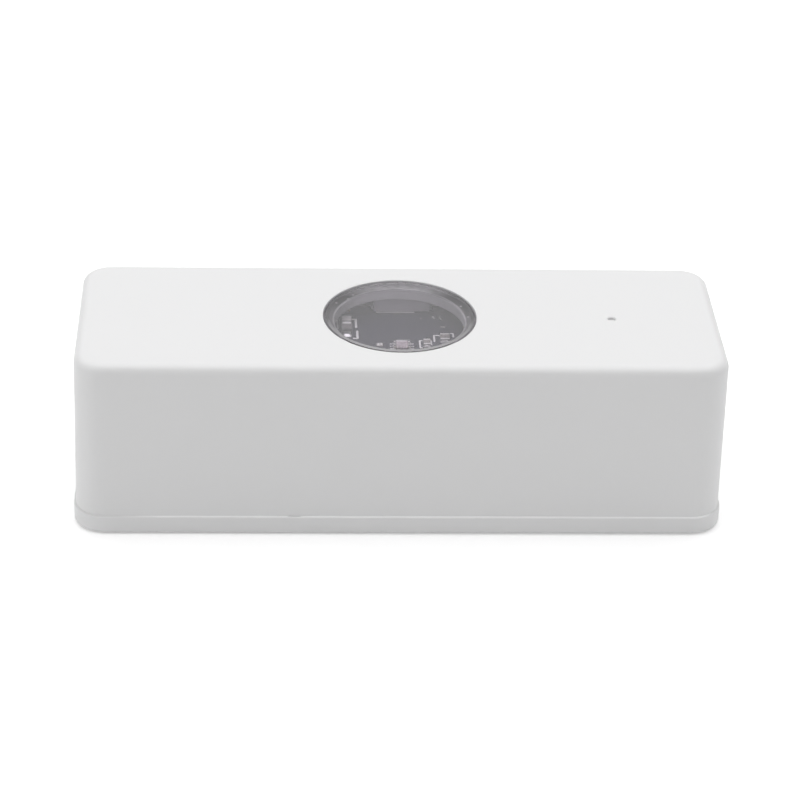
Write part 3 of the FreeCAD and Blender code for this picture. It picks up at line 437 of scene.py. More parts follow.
# Foam of the mounting tape, with open pores
def makeFoam():
    tree, shader, grain = startGrained("foamTape", look((0.030, 0.030, 0.032), 0.85, 0.2, 1.5, 0.15, 0.05))
    pores = addSpecks(tree, scale=3500.0, size=0.4, share=0.6)
    tone = mixColour(tree, pores, grain.outputs["Colour"], (0.008, 0.008, 0.009))
    feed(tree, tone, shader.inputs["Base Color"])
    relieve(tree, shader, maths(tree, "SUBTRACT", grain.outputs["Height"], pores), 0.05, 0.7)


# Drawn metal with rings about its own axis
def makeTurned(name, tone, gloss, node, ringPitch):
    tree, shader, grain = startGrained(name, look(tone, gloss, 0.06, 4.0, 0.12, 0.004, metallic=1.0))
    inputs = {"Centre": middleOf(node) * mm, "Ring Scale": 2 * math.pi / (ringPitch * mm)}
    rings = add(tree, "ShaderNodeGroup", inputs, node_tree=ringGroup)
    relieve(tree, shader, scaled(tree, grain.outputs["Height"], 0.6, rings.outputs[0]), 0.004)


for name, spec in finishes.items():
    makeFinish(name, spec)
for name, spec in dullLooks.items():
    makeDull(name, spec)
makeSmokedWindow()
makeLipPaintedLight()
makeClearEpoxy("sensorClear", (0.95, 0.94, 0.95), 0.05)
makeClearEpoxy("lightResin", (0.92, 0.92, 0.88), 0.12)
makeBoardMask()
makeAdhesive()
makeDieSilicon()
makeFoam()
for cell in cells:
    makeTurned(cell + "Steel", (0.60, 0.60, 0.59), 0.27, cell + "_can", 0.22)
makeTurned("canAluminium", (0.72, 0.72, 0.73), 0.3, "bulk_capacitor_can", 0.15)
print("materials ready:", len(materials))


# Which CAD nodes get each finish; a piece that replaces a node brings its own
nodeFinishes = {
    "caseWhite": ["bottom_cover", "snap_hooks", "top_housing"],
    "screwSteel": ["board_screws"],
    "nylonBlack": ["battery_holder", "switch_body"],
    "nylonWhite": ["function_key"],
    "springSteel": ["negative_contacts", "positive_contacts"],
    "shieldSteel": ["radio_module_shield", "switch_cover"],
    "dieSilicon": ["light_sensor_die"],
    "tinPlate": ["light_sensor_leads", "microcontroller_leads"],
    "radioMask": ["radio_module_board"],
    "canAluminium": ["bulk_capacitor_can"],
    "cellSeal": [cell + "_gasket" for cell in cells],
    "cellPowder": [cell + "_core" for cell in cells],
}
for cell in cells:
    nodeFinishes[cell + "Steel"] = [cell + "_can", cell + "_cap"]
for finish, nodes in nodeFinishes.items():
    for node in nodes:
        for slot in cadNodes[node].material_slots:
            slot.material = materials[finish]
print("finishes on the CAD nodes:", sum(len(nodes) for nodes in nodeFinishes.values()))


# Mesh making, in millimetres
def finishMesh(form, name, *finishNames, smoothAngle=22):
    for vert in form.verts:
        vert.co *= mm
    bmesh.ops.recalc_face_normals(form, faces=form.faces)
    mesh = bpy.data.meshes.new(name)
    form.to_mesh(mesh)
    form.free()
    if "custom_normal" in mesh.attributes:
        mesh.attributes.remove(mesh.attributes["custom_normal"])
    mesh.shade_smooth()
    mesh.set_sharp_from_angle(angle=math.radians(smoothAngle))
    for finish in finishNames:
        mesh.materials.append(materials[finish])
    return mesh


def place(name, mesh, body, slotName, *replaced):
    piece = addObject(name, mesh)
    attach(piece, body)
    if replaced:
        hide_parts(*replaced)


def makePiece(form, name, finish, slotName, *replaced, second=None, body="housing", smoothAngle=22):
    finishNames = (finish, second) if second else (finish,)
    place(name, finishMesh(form, name, *finishNames, smoothAngle=smoothAngle), body, slotName, *replaced)


def joinRings(form, lower, upper):
    steps = max(len(lower), len(upper))
    for step in range(steps):
        after = (step + 1) % steps
        corners = [lower[step % len(lower)], lower[after % len(lower)],
                   upper[after % len(upper)], upper[step % len(upper)]]
        corners = list(dict.fromkeys(corners))
        if len(corners) > 2:
            form.faces.new(corners)


def addTurned(form, rows, steps, centre=(0.0, 0.0), ripple=None, closed=False):
    # rows of (radius, height), turned about an upright axis
    rings = []
    for index, (radius, height) in enumerate(rows):
        if radius == 0:
            rings.append([form.verts.new((*centre, height))])
            continue
        ring = []
        for step in range(steps):
            angle = 2 * math.pi * step / steps
            reach = radius + (ripple(index, angle) if ripple else 0.0)
            ring.append(form.verts.new((centre[0] + reach * math.cos(angle),
                                        centre[1] + reach * math.sin(angle), height)))
        rings.append(ring)
    for lower, upper in zip(rings, rings[1:] + (rings[:1] if closed else [])):
        joinRings(form, lower, upper)


def cornerPoints(low, high, radius, steps):  # round a rectangle: (centre of the corner, direction)
    points = []
    for corner, (sideX, sideY) in enumerate(((1, 1), (-1, 1), (-1, -1), (1, -1))):
        centreX = high[0] - radius if sideX > 0 else low[0] + radius
        centreY = high[1] - radius if sideY > 0 else low[1] + radius
        for step in range(steps + 1):
            angle = math.pi / 2 * (corner + step / steps)
            points.append((centreX, centreY, math.cos(angle), math.sin(angle)))
    return points


def addPlate(form, low, high, radius, edge, steps=8):
    # a plate with rounded corners and softened rims
    outline = cornerPoints(low, high, radius, steps)
    rings = []
    for inset, height in ((edge, low[2]), (0.0, low[2] + edge), (0.0, high[2] - edge), (edge, high[2])):
        reach = radius - inset
        rings.append([form.verts.new((x + reach * c, y + reach * s, height)) for x, y, c, s in outline])
    for lower, upper in zip(rings, rings[1:]):
        joinRings(form, lower, upper)
    form.faces.new(rings[0])
    form.faces.new(rings[-1])


def bevelEdges(form, edges, edge):
    bmesh.ops.bevel(form, geom=edges, offset=edge, segments=2, profile=0.5, affect="EDGES",
                    clamp_overlap=True)


def copyOf(node):
    # the CAD node's mesh with its loose triangles merged, in millimetres
    form = bmesh.new()
    form.from_mesh(cadNodes[node].data)
    bmesh.ops.remove_doubles(form, verts=form.verts, dist=0.001 * mm)
    for vert in form.verts:
        vert.co /= mm
    return form


def softenedCopy(node, edge):
    flat = math.radians(1)
    sharp = math.radians(30)
    form = copyOf(node)
    bmesh.ops.dissolve_limit(form, angle_limit=flat, verts=form.verts, edges=form.edges)
    edges = [rim for rim in form.edges if len(rim.link_faces) == 2 and rim.calc_face_angle(0.0) > sharp]
    bevelEdges(form, edges, edge)
    return form


def solidsOf(node):
    # lowest and highest corner of each separate solid in a CAD node, in millimetres
    form = copyOf(node)
    seen = set()
    found = []
    for start in form.verts:
        if start in seen:
            continue
        seen.add(start)
        group = [start]
        for vert in group:
            for rim in vert.link_edges:
                other = rim.other_vert(vert)
                if other not in seen:
                    seen.add(other)
                    group.append(other)
        found.append([Vector([pick(vert.co[axis] for vert in group) for axis in range(3)])
                      for pick in (min, max)])
    form.free()
    return found


# Geometry node trees for what repeats or follows a line
def geometryTree(name, inputs):
    shape = {"Geometry": "Geometry"}
    return newTree(name, "GeometryNodeTree", {**shape, **inputs, "Finish": "Material"}, shape)


def endTree(tree, geometry, given, made):
    solid = add(tree, "GeometryNodeRealizeInstances", {"Geometry": geometry})
    inputs = {"Geometry": solid.outputs[0], "Material": given["Finish"]}
    painted = add(tree, "GeometryNodeSetMaterial", inputs)
    feed(tree, painted.outputs[0], made["Geometry"])
    return tree


def sweep(tree, curve, profile):
    inputs = {"Curve": curve.outputs[0], "Profile Curve": profile.outputs[0], "Fill Caps": True}
    return add(tree, "GeometryNodeCurveToMesh", inputs).outputs[0]


def makeStripTree():  # flat strips along lines, for tracks and print
    tree, given, made = geometryTree("flatStrips", {"Width": "Float", "Height": "Float", "Corner": "Float"})
    curve = add(tree, "GeometryNodeMeshToCurve", {"Mesh": given["Geometry"]})
    bends = {"Curve": curve.outputs[0], "Count": 3, "Limit Radius": True, "Radius": given["Corner"]}
    rounded = add(tree, "GeometryNodeFilletCurve", bends, mode="POLY")
    level = add(tree, "GeometryNodeSetCurveNormal", {"Curve": rounded.outputs[0]}, mode="Z_UP")
    sides = {"Width": given["Width"], "Height": given["Height"]}
    profile = add(tree, "GeometryNodeCurvePrimitiveQuadrilateral", sides, mode="RECTANGLE")
    return endTree(tree, sweep(tree, level, profile), given, made)


def makeWireTree():  # round wire along lines
    tree, given, made = geometryTree("roundWire", {"Radius": "Float", "Sides": "Int"})
    curve = add(tree, "GeometryNodeMeshToCurve", {"Mesh": given["Geometry"]})
    circle = {"Radius": given["Radius"], "Resolution": given["Sides"]}
    profile = add(tree, "GeometryNodeCurvePrimitiveCircle", circle, mode="RADIUS")
    return endTree(tree, sweep(tree, curve, profile), given, made)


def makeCopyTree():  # copies of one shape on points, each with its own size
    tree, given, made = geometryTree("placedCopies", {"Shape": "Object"})
    shape = add(tree, "GeometryNodeObjectInfo", {"Object": given["Shape"]}, transform_space="ORIGINAL")
    size = add(tree, "GeometryNodeInputNamedAttribute", {"Name": "size"}, data_type="FLOAT_VECTOR")
    inputs = {"Points": given["Geometry"], "Instance": shape.outputs["Geometry"],
              "Scale": size.outputs["Attribute"]}
    copies = add(tree, "GeometryNodeInstanceOnPoints", inputs)
    return endTree(tree, copies.outputs[0], given, made)


stripTree = makeStripTree()
wireTree = makeWireTree()
copyTree = makeCopyTree()


def newMesh(name, points, edges):
    mesh = bpy.data.meshes.new(name)
    mesh.from_pydata([tuple(mm * part for part in point) for point in points], edges, [])
    return mesh


def grow(name, tree, start, values, body, slotName, *replaced, smoothAngle=30):
    # runs a tree on a starting mesh and keeps the result as a plain mesh
    piece = addObject(name, start)
    modifier = piece.modifiers.new("grow", "NODES")
    modifier.node_group = tree
    for item in tree.interface.items_tree:
        if item.in_out == "INPUT" and item.name in values:
            modifier[item.identifier] = values[item.name]
    graph = bpy.context.evaluated_depsgraph_get()
    mesh = bpy.data.meshes.new_from_object(piece.evaluated_get(graph), depsgraph=graph)
    bpy.data.objects.remove(piece)
    mesh.name = name
    mesh.shade_smooth()
    mesh.set_sharp_from_angle(angle=math.radians(smoothAngle))
    place(name, mesh, body, slotName, *replaced)


def linesMesh(name, lines):
    points = []
    edges = []
    for line in lines:
        first = len(points)
        points += line
        edges += [(first + step, first + step + 1) for step in range(len(line) - 1)]
    return newMesh(name, points, edges)


def growStrips(name, lines, width, height, corner, finish, slotName, body="housing"):
    values = {"Width": width * mm, "Height": height * mm, "Corner": corner * mm, "Finish": materials[finish]}
    grow(name, stripTree, linesMesh(name, lines), values, body, slotName)


def growWire(name, lines, radius, sides, finish, slotName, *replaced, **smoothing):
    values = {"Radius": radius * mm, "Sides": sides, "Finish": materials[finish]}
    grow(name, wireTree, linesMesh(name, lines), values, "housing", slotName, *replaced, **smoothing)


def growCopies(name, shape, rows, finish, slotName):  # rows of (point, size)
    start = newMesh(name, [point for point, _ in rows], [])
    sizes = start.attributes.new("size", "FLOAT_VECTOR", "POINT")
    for index, (_, size) in enumerate(rows):
        sizes.data[index].vector = size
    model = addObject(name + "Shape", shape)
    grow(name, copyTree, start, {"Shape": model, "Finish": materials[finish]}, "housing", slotName)
    bpy.data.objects.remove(model)


# Shapes that are copied, one unit across
def joinGrid(form, rows):
    for front, back in zip(rows, rows[1:]):
        for column in range(len(front) - 1):
            form.faces.new((front[column], front[column + 1], back[column + 1], back[column]))


def pillowShape():  # a mound of solder with a flat foot
    form = bmesh.new()
    places = [2 * step / 6 - 1 for step in range(7)]
    grid = []
    for y in places:
        line = []
        for x in places:
            rise = (1 - abs(x) ** 3) * (1 - abs(y) ** 3)
            pull = 1 - 0.12 * (x * x * y * y)
            line.append(form.verts.new((x * pull, y * pull, rise ** 0.8)))
        grid.append(line)
    joinGrid(form, grid)
    form.faces.new(grid[0] + [line[-1] for line in grid[1:]] + grid[-1][-2::-1]
                   + [line[0] for line in grid[-2:0:-1]])
    return finishMesh(form, "solderMound", smoothAngle=60)


def wedgeShape():  # solder that slopes from a tab down to the board, towards -y
    form = bmesh.new()
    slope = ((0.0, 1.0), (0.25, 0.80), (0.5, 0.53), (0.75, 0.27), (1.0, 0.06))
    columns = 8
    grid = []
    for depth, height in slope:
        narrow = 1 - 0.25 * depth * depth
        line = []
        for column in range(columns + 1):
            x = 2 * column / columns - 1
            line.append(form.verts.new((x * narrow, -depth, height * (1 - abs(x) ** 4) + 0.02)))
        grid.append(line)
    floor = [[form.verts.new((vert.co.x, vert.co.y, 0.0)) for vert in line] for line in grid]
    for rows in (grid, floor):
        joinGrid(form, rows)
    for end in (0, -1):
        joinGrid(form, (grid[end], floor[end]))
        joinGrid(form, ([line[end] for line in grid], [line[end] for line in floor]))
    return finishMesh(form, "solderWedge", smoothAngle=60)


def turnedShape(name, rows, steps, smoothAngle=30, closed=False):
    form = bmesh.new()
    addTurned(form, rows, steps, closed=closed)
    return finishMesh(form, name, smoothAngle=smoothAngle)


def coneShape():  # solder drawn up round a pin
    rows = [(0, 0), (1.0, 0), (0.78, 0.12), (0.56, 0.38), (0.42, 0.8), (0.36, 0.95), (0, 1.0)]
    return turnedShape("solderCone", rows, 16, smoothAngle=50)


def ringShape():  # a flat ring, such as a plated hole's land
    rows = [(0.5, 0), (1.0, 0), (1.0, 0.7), (0.93, 1.0), (0.57, 1.0), (0.5, 0.7)]
    return turnedShape("plateRing", rows, 20, closed=True)


def discShape():
    return turnedShape("disc", [(0, 0), (1.0, 0), (1.0, 0.7), (0.9, 1.0), (0, 1.0)], 20)


def padShape():
    form = bmesh.new()
    addPlate(form, (-1.0, -1.0, 0.0), (1.0, 1.0, 1.0), 0.25, 0.08, 2)
    return finishMesh(form, "pad", smoothAngle=30)


# Window: the lens, the adhesive that holds it on its ledge, and a sleeve in the ledge's mouth
window = {
    "bevelWidth": 0.58, "bevelDepth": 0.21, "sheenBevelShare": 0.57, "footChamfer": 0.08, "steps": 192,
    "adhesiveOuter": 9.48, "adhesiveInner": 8.24, "bead": 0.03, "squeeze": 0.03, "wetting": 0.01,
    "sleeveOuter": 8.245, "sleeveInner": 8.17, "sleeveFoot": 2.14, "sleeveGap": 0.02,
    "sleeveEdge": (0.02, 0.03),
}


def makeWindowLens():
    low, high = boxOf("window_lens")
    radius = high.x
    foot = window["footChamfer"]
    width = window["bevelWidth"]
    depth = window["bevelDepth"]
    sheenShare = window["sheenBevelShare"]  # the bevel's inner part takes the dull grey finish, painted paler towards the front as a painted highlight; its outer part is polished
    rows = [(0, low.z), (radius - foot, low.z), (radius, low.z + foot), (radius, high.z - depth),
            (radius - (1 - sheenShare) * width, high.z - sheenShare * depth), (radius - width, high.z), (0, high.z)]
    form = bmesh.new()
    addTurned(form, rows, window["steps"])
    for face in form.faces:
        middle = face.calc_center_median()
        face.material_index = 1 if high.z - sheenShare * depth < middle.z < high.z - 0.01 else 0
    # a small angle, so that its faces stay flat
    makePiece(form, "windowLens", "smokedWindow", "smoked_window", "window_lens",
              second="paintedSheenBevel", smoothAngle=12)


def makeLensAdhesive():
    low, high = boxOf("lens_adhesive_ring")
    inner = window["adhesiveInner"]
    outer = window["adhesiveOuter"]
    behind = inner + window["bead"]
    top = high.z + window["wetting"]  # it wets the lens
    rows = [(behind, low.z), (outer, low.z), (outer, top), (behind, top), (inner, 0.5 * (low.z + high.z))]

    def squeezed(index, angle):  # the bead's inner edge wanders a little
        if index in (1, 2):
            return 0.0
        return window["squeeze"] * (0.6 * math.sin(5 * angle + 1) + 0.4 * math.sin(13 * angle))

    form = bmesh.new()
    addTurned(form, rows, window["steps"], ripple=squeezed, closed=True)
    makePiece(form, "lensAdhesive", "blackAdhesive", "black_adhesive", "lens_adhesive_ring")


def makeBaffleSleeve():  # a grey sleeve in the ledge's mouth, its tone along x painted as light and shade
    inner = window["sleeveInner"]
    outer = window["sleeveOuter"]
    across, down = window["sleeveEdge"]
    bottom = boardTop + window["sleeveFoot"]
    top = boxOf("lens_adhesive_ring")[0].z - window["sleeveGap"]
    rows = [(inner + across, bottom), (outer, bottom), (outer, top), (inner + across, top),
            (inner, top - down), (inner, bottom + down)]
    form = bmesh.new()
    addTurned(form, rows, window["steps"], closed=True)
    makePiece(form, "baffleSleeve", "baffleGrey", "black_adhesive")


makeWindowLens()
makeLensAdhesive()
makeBaffleSleeve()
print("window ready")


# Circuit board: mask on its faces, bare laminate on its edges, tracks, print and plated holes.
# Tracks, print and lands are sunk a little, so that no gap shows under them
board = {
    "trackHeight": 0.035, "trackWidth": 0.22, "powerWidth": 0.7, "signalCorner": 0.3, "powerCorner": 0.5,
    "inkHeight": 0.03, "inkWidth": 0.23, "boldWidth": 0.3, "inkCorner": 0.02,
    "stripSunk": 0.002, "landSunk": 0.004, "screw": (35.2, 7.19), "screwLand": (2.5, 2.5, 0.034),
    "via": (0.3, 0.3, 0.03),
}


def makeBoardPanel():
    form = copyOf("circuit_board")
    for face in form.faces:
        face.material_index = 0 if abs(face.normal.z) > 0.5 else 1
    makePiece(form, "boardPanel", "boardMask", "circuit_board", "circuit_board", second="laminateEdge")


def plusSign(x, y, reach, width):  # its strokes, of which none lies on another
    half = 0.5 * width
    return [[(x - reach, y), (x + reach, y)], [(x, y - reach), (x, y - half)],
            [(x, y + half), (x, y + reach)]]


def atHeight(height, lines):
    return [[(x, y, height) for x, y in line] for line in lines]


def makeTracks():
    signal = [
        [(-12.4, -6.0), (-10.6, -7.8), (11.6, -7.8), (13.0, -6.4), (15.0, -6.4)],
        [(-12.4, -5.0), (-10.2, -7.2), (9.9, -7.2), (13.6, -3.4), (13.6, -1.6)],
        [(-12.4, -4.0), (-9.8, -6.6), (4.2, -6.6), (5.0, -5.8)],
        [(-12.4, 7.0), (-11.2, 8.2), (-4.4, 8.2), (-3.2, 9.4), (-0.6, 9.4), (-0.6, 10.0)],
        [(11.4, 7.2), (9.6, 9.0), (3.2, 9.0), (2.9, 9.3), (2.9, 10.0)],
        [(13.4, 0.4), (11.2, 0.4), (10.2, 1.4), (10.2, 6.6), (9.0, 7.8)],
        [(13.4, 2.0), (12.0, 2.0), (11.4, 2.6), (11.4, 7.2)],
        [(22.0, 3.8), (23.0, 4.8), (23.0, 7.2)],
        [(22.0, -1.0), (22.9, -1.9), (22.9, -4.2)],
        [(1.6, -0.6), (2.3, -1.3), (2.3, -5.6)],
        [(-0.9, -0.6), (-1.8, -1.5), (-3.3, -3.0), (-3.3, -4.9)],
        [(-25.9, 0.0), (-29.8, 0.0), (-33.6, 0.0), (-34.6, 0.0)],
        [(20.2, -5.6), (21.6, -5.6), (22.3, -6.3), (22.3, -8.5), (12.9, -8.5)],
    ]
    power = [
        [(-36.8, -4.0), (-36.8, 4.0)],
        [(25.2, 5.0), (25.2, 9.2), (12.4, 9.2)],
        [(-25.2, 5.0), (-25.2, 9.3), (-13.5, 9.3)],
        [(30.6, -1.6), (33.0, -4.0), (33.0, -9.0), (-33.0, -9.0)],
        [(-26.6, -4.4), (-26.6, 4.4)],
    ]
    below = [
        [(-25.25, 3.6), (-22.0, 6.9), (-14.0, 6.9), (-12.9, 7.9)],
        [(28.4, 3.0), (24.0, 7.4), (14.0, 7.4)],
        [(-34.0, -5.8), (-30.0, -9.4), (30.0, -9.4), (34.0, -5.8)],
        [(34.6, 1.0), (37.0, 1.0), (37.0, -4.6)],
    ]
    rise = 0.5 * board["trackHeight"] - board["stripSunk"]
    for name, lines, height, width, corner in (
            ("signalTracks", signal, boardTop + rise, board["trackWidth"], board["signalCorner"]),
            ("powerTracks", power, boardTop + rise, board["powerWidth"], board["powerCorner"]),
            ("underTracks", below, boardBottom - rise, board["powerWidth"], board["powerCorner"])):
        growStrips(name, atHeight(height, lines), width, board["trackHeight"], corner, "trackMask",
                   "circuit_board")


# Print round the larger parts: how far out its corner marks stand, and their share of the part's side
marks = {
    "gaps": {"microcontroller_leads": 0.4, "crystal": 0.35, "radio_module_board": 0.4,
             "switch_terminals": 0.3},
    "share": 0.22, "fromEdge": 0.3, "plusSigns": [(24.2, 8.6), (-24.2, 8.6)], "plusReach": 0.5,
}


def makePrint():
    # marks beside the parts that the window shows
    bold = [
        [(-5.78, 6.66), (-5.27, 6.66), (-5.27, 4.36)],
        [(-5.25, 3.49), (-5.17, 3.49), (-5.17, 1.54), (-5.74, 1.54)],
    ]
    plain = [
        [(-7.68, 6.42), (-7.62, 4.06)],
        [(3.00, 1.02), (2.66, 1.02), (2.66, -0.78), (2.95, -0.78)],
        [(4.06, 1.10), (4.10, -0.12)],
        [(5.20, 2.42), (4.52, 2.42), (4.52, 0.72)],
        [(6.62, 2.96), (6.95, 2.96), (6.97, 2.02)],
        [(4.57, 7.59), (4.85, 6.91)],
        [(5.43, 7.43), (5.64, 6.65)],
        # a white line along the plug's foot: a painted highlight, drawn as print
        [(-2.6, 8.63), (2.3, 8.63)],
    ]
    faint = [
        [(5.49, 4.70), (6.05, 4.66)],
        [(3.0, 6.96), (3.16, 6.96)],
    ]
    for node, gap in marks["gaps"].items():
        low, high = boxOf(node)
        corner = marks["share"] * min(high.x - low.x, high.y - low.y)
        back = min(high.y + gap, boardHigh.y - marks["fromEdge"])
        for x, inX in ((low.x - gap, corner), (high.x + gap, -corner)):
            for y, inY in ((low.y - gap, corner), (back, -corner)):
                plain.append([(x + inX, y), (x, y), (x, y + inY)])
    for x, y in marks["plusSigns"]:  # beside the positive tails
        plain += plusSign(x, y, marks["plusReach"], board["inkWidth"])
    height = boardTop + 0.5 * board["inkHeight"] - board["stripSunk"]
    for name, lines, width, finish in (("faintPrint", faint, board["inkWidth"], "inkGrey"),
                                       ("boardPrint", plain, board["inkWidth"], "inkWhite"),
                                       ("boldPrint", bold, board["boldWidth"], "inkWhite")):
        growStrips(name, atHeight(height, lines), width, board["inkHeight"], board["inkCorner"], finish,
                   "circuit_board")


def makeLands():
    vias = [(-10.4, -3.2), (-9.4, -5.0), (9.6, -2.4), (10.6, -3.0), (11.4, 3.4), (8.6, 4.8), (-9.9, 8.9),
            (-6.2, 9.1), (24.6, -7.4), (22.0, 8.9), (12.4, 8.6), (-26.9, 7.6), (-26.9, -7.6), (-30.4, 1.6),
            (-30.4, -1.6), (31.0, 4.6), (32.2, 4.6), (33.4, 4.6), (31.0, -4.6), (-2.4, -4.0), (1.0, -8.2),
            (6.4, -3.2), (8.2, -5.4), (-12.0, -8.6), (-14.6, -8.6), (16.6, 8.6), (19.0, -2.6), (12.9, -8.5)]
    above = boardTop - board["landSunk"]
    under = boardBottom + board["landSunk"] - board["via"][2]
    x, y = board["screw"]
    rows = [((sideX * x, sideY * y, above), board["screwLand"]) for sideX in (-1, 1) for sideY in (-1, 1)]
    rows += [((x, y, height), board["via"]) for x, y in vias for height in (above, under)]
    growCopies("platedHoles", ringShape(), rows, "goldPlate", "circuit_board")


# Solder: sizes are half widths, half depths and heights
solder = {
    "sunk": 0.01,
    # on chip terminals: out from the part, wider at the end and at the sides, share of the height
    "chipShift": 0.12, "chipEnd": 0.2, "chipSide": 0.06, "chipHeight": 0.55,
    # on leads: wider at the sides, reach at the end, height
    "leads": {"microcontroller_leads": (0.1, 0.22, 0.26), "switch_terminals": (0.12, 0.25, 0.22)},
    "wedgeShift": 0.36, "wedge": (0.67, 0.72, 0.48), "tabShift": 0.08, "tab": (0.72, 0.36, 0.40),
    "status": (0.3, 0.5, 0.2), "notch": (0.38, 0.34, 0.5), "notchPitch": 1.5, "notches": 7,
    "plug": (0.3, 0.6, 0.35), "plugY": 1.2, "beside": 0.1,
    "dots": [(-2.62, 0.08), (-2.22, 0.08)], "dot": (0.11, 0.20, 0.13), "dotPad": (0.2, 0.42, 0.03),
    "padShift": 0.1,
    "pins": [(12.85, 8.19), (-12.85, 8.19), (25.255, 5.0), (-25.255, 5.0)], "pin": (0.95, 0.95, 0.62),
    "aerial": (0.9, 0.9, 0.55),
}


def onBoard(x, y, size, sunk=solder["sunk"]):
    return (x, y, boardTop - sunk), size


def makeChipSolder():
    bodies = solidsOf("chip_capacitors") + solidsOf("chip_resistors")
    middles = [(low + high) / 2 for low, high in bodies]
    mounds = []
    for low, high in solidsOf("chip_terminals"):
        middle = (low + high) / 2
        half = (high - low) / 2
        away = middle - min(middles, key=lambda other: (other - middle).length)
        along = 0 if abs(away.x) > abs(away.y) else 1
        middle[along] += math.copysign(solder["chipShift"], away[along])
        half[along] += solder["chipEnd"]
        half[1 - along] += solder["chipSide"]
        mounds.append(onBoard(middle.x, middle.y, (half.x, half.y, 2 * solder["chipHeight"] * half.z)))
    growCopies("chipSolder", pillowShape(), mounds, "solderGrey", "tinned_metal")


def makeMounds():
    mounds = []
    for node, (side, end, rise) in solder["leads"].items():
        centre = middleOf(node)
        for low, high in solidsOf(node):
            middle = (low + high) / 2
            half = (high - low) / 2
            along = 0 if half.x > half.y else 1
            middle[along] = high[along] if middle[along] > centre[along] else low[along]
            half[along] = end
            half[1 - along] += side
            mounds.append(onBoard(middle.x, middle.y, (half.x, half.y, rise)))
    low, high = boxOf("tantalum_capacitor_tabs")
    x = (low.x + high.x) / 2
    wedges = [onBoard(x, low.y + solder["wedgeShift"], solder["wedge"])]
    growCopies("solderWedge", wedgeShape(), wedges, "solderDull", "tinned_metal")
    mounds.append(onBoard(x, high.y + solder["tabShift"], solder["tab"]))
    low, high = boxOf("status_light")
    mounds += [onBoard(x, (low.y + high.y) / 2, solder["status"]) for x in (low.x, high.x)]
    low, high = boxOf("radio_module_board")
    beside = solder["beside"]
    for step in range(solder["notches"]):  # the radio board's solder notches
        x = (low.x + high.x) / 2 + solder["notchPitch"] * (step - 0.5 * (solder["notches"] - 1))
        mounds += [onBoard(x, y, solder["notch"]) for y in (low.y - beside, high.y + beside)]
    low, high = boxOf("plug_connector")
    mounds += [onBoard(x, low.y + solder["plugY"], solder["plug"]) for x in (low.x - beside, high.x + beside)]
    growCopies("solderMounds", pillowShape(), mounds, "solder", "tinned_metal")


def makeTestDots():
    dots = [onBoard(x, y, solder["dot"]) for x, y in solder["dots"]]
    growCopies("testDots", wedgeShape(), dots, "solder", "tinned_metal")
    pads = [onBoard(x, y - solder["padShift"], solder["dotPad"], board["landSunk"])
            for x, y in solder["dots"]]
    growCopies("testPads", padShape(), pads, "inkGrey", "tinned_metal")


def makeCones():
    cones = [onBoard(x, y, solder["pin"]) for x, y in solder["pins"]]
    cones.append(onBoard(boxOf("antenna_coil")[0].x + aerial["wire"], 0.0, solder["aerial"]))
    growCopies("solderCones", coneShape(), cones, "solder", "tinned_metal")


# Aerial: one sprung wire, a leg through the board and a coil of round turns below it
aerial = {"radius": 2.6, "wire": 0.35, "gap": 0.01, "pitch": 1.3, "turns": 7, "leg": 1.2, "straight": 0.6,
          "pointsPerTurn": 32, "sides": 14}


def makeAerial():
    low, high = boxOf("antenna_coil")
    footX = low.x + aerial["wire"] + aerial["gap"]
    axisX = footX + aerial["radius"]
    bend = boardBottom - aerial["straight"] * aerial["leg"]
    line = [(footX, 0.0, height) for height in (high.z, boardBottom, bend)]
    for step in range(1, aerial["turns"] * aerial["pointsPerTurn"] + 1):
        turn = step / aerial["pointsPerTurn"]
        angle = 2 * math.pi * turn
        line.append((axisX - aerial["radius"] * math.cos(angle), -aerial["radius"] * math.sin(angle),
                     boardBottom - aerial["leg"] - aerial["pitch"] * turn))
    growWire("aerialCoil", [line], aerial["wire"], aerial["sides"], "bronzeWire", "antenna_wire",
             "antenna_coil", smoothAngle=50)


makeBoardPanel()
makeTracks()
makePrint()
makeLands()
makeChipSolder()
makeMounds()
makeTestDots()
makeCones()
print("circuit board ready")


# Case: a low rounded lip on the bottom cover's rim closes the seam, and stops at the pry notch
seamLip = {
    "cornerRadius": 3.74, "cornerSteps": 16,
    # distance out from the housing's face, height over the seam, share of that height kept at the notch
    "section": [(-0.08, -0.03, 1.0), (0.20, -0.03, 1.0), (0.20, -0.015, 1.0), (0.17, 0.02, 0.0),
                (0.12, 0.06, 0.0), (0.06, 0.09, 0.0), (0.006, 0.10, 0.0), (0.006, -0.001, 1.0),
                (-0.08, -0.001, 1.0)],
    "notchMiddle": -13.1, "notchWidth": 1.3, "ramp": 0.25, "notchSunk": 0.012,
}


def makeSeamLip():
    half = 0.5 * seamLip["notchWidth"]
    far = half + seamLip["ramp"]
    steps = seamLip["cornerSteps"]
    stops = [seamLip["notchMiddle"] + reach for reach in (-far, -half, half, far)]
    form = bmesh.new()
    rings = []
    for out, rise, kept in seamLip["section"]:
        shift = Vector((out, out, 0.0))
        radius = seamLip["cornerRadius"] + out
        low = caseLow - shift
        corners = cornerPoints(low, caseHigh + shift, radius, steps)
        outline = [(x + radius * c, y + radius * s) for x, y, c, s in corners]
        outline[3 * (steps + 1):3 * (steps + 1)] = [(stop, low.y) for stop in stops]
        ring = []
        for x, y in outline:
            atNotch = y < 0 and stops[1] <= x <= stops[2]
            height = kept * rise - seamLip["notchSunk"] * (1 - kept) if atNotch else rise
            ring.append(form.verts.new((x, y, caseLow.z + height)))
        rings.append(ring)
    for lower, upper in zip(rings, rings[1:] + rings[:1]):
        joinRings(form, lower, upper)
    makePiece(form, "seamLip", "lipWhitePaintedLight", "case_white", body="base", smoothAngle=35)


makeSeamLip()
print("seam ready")


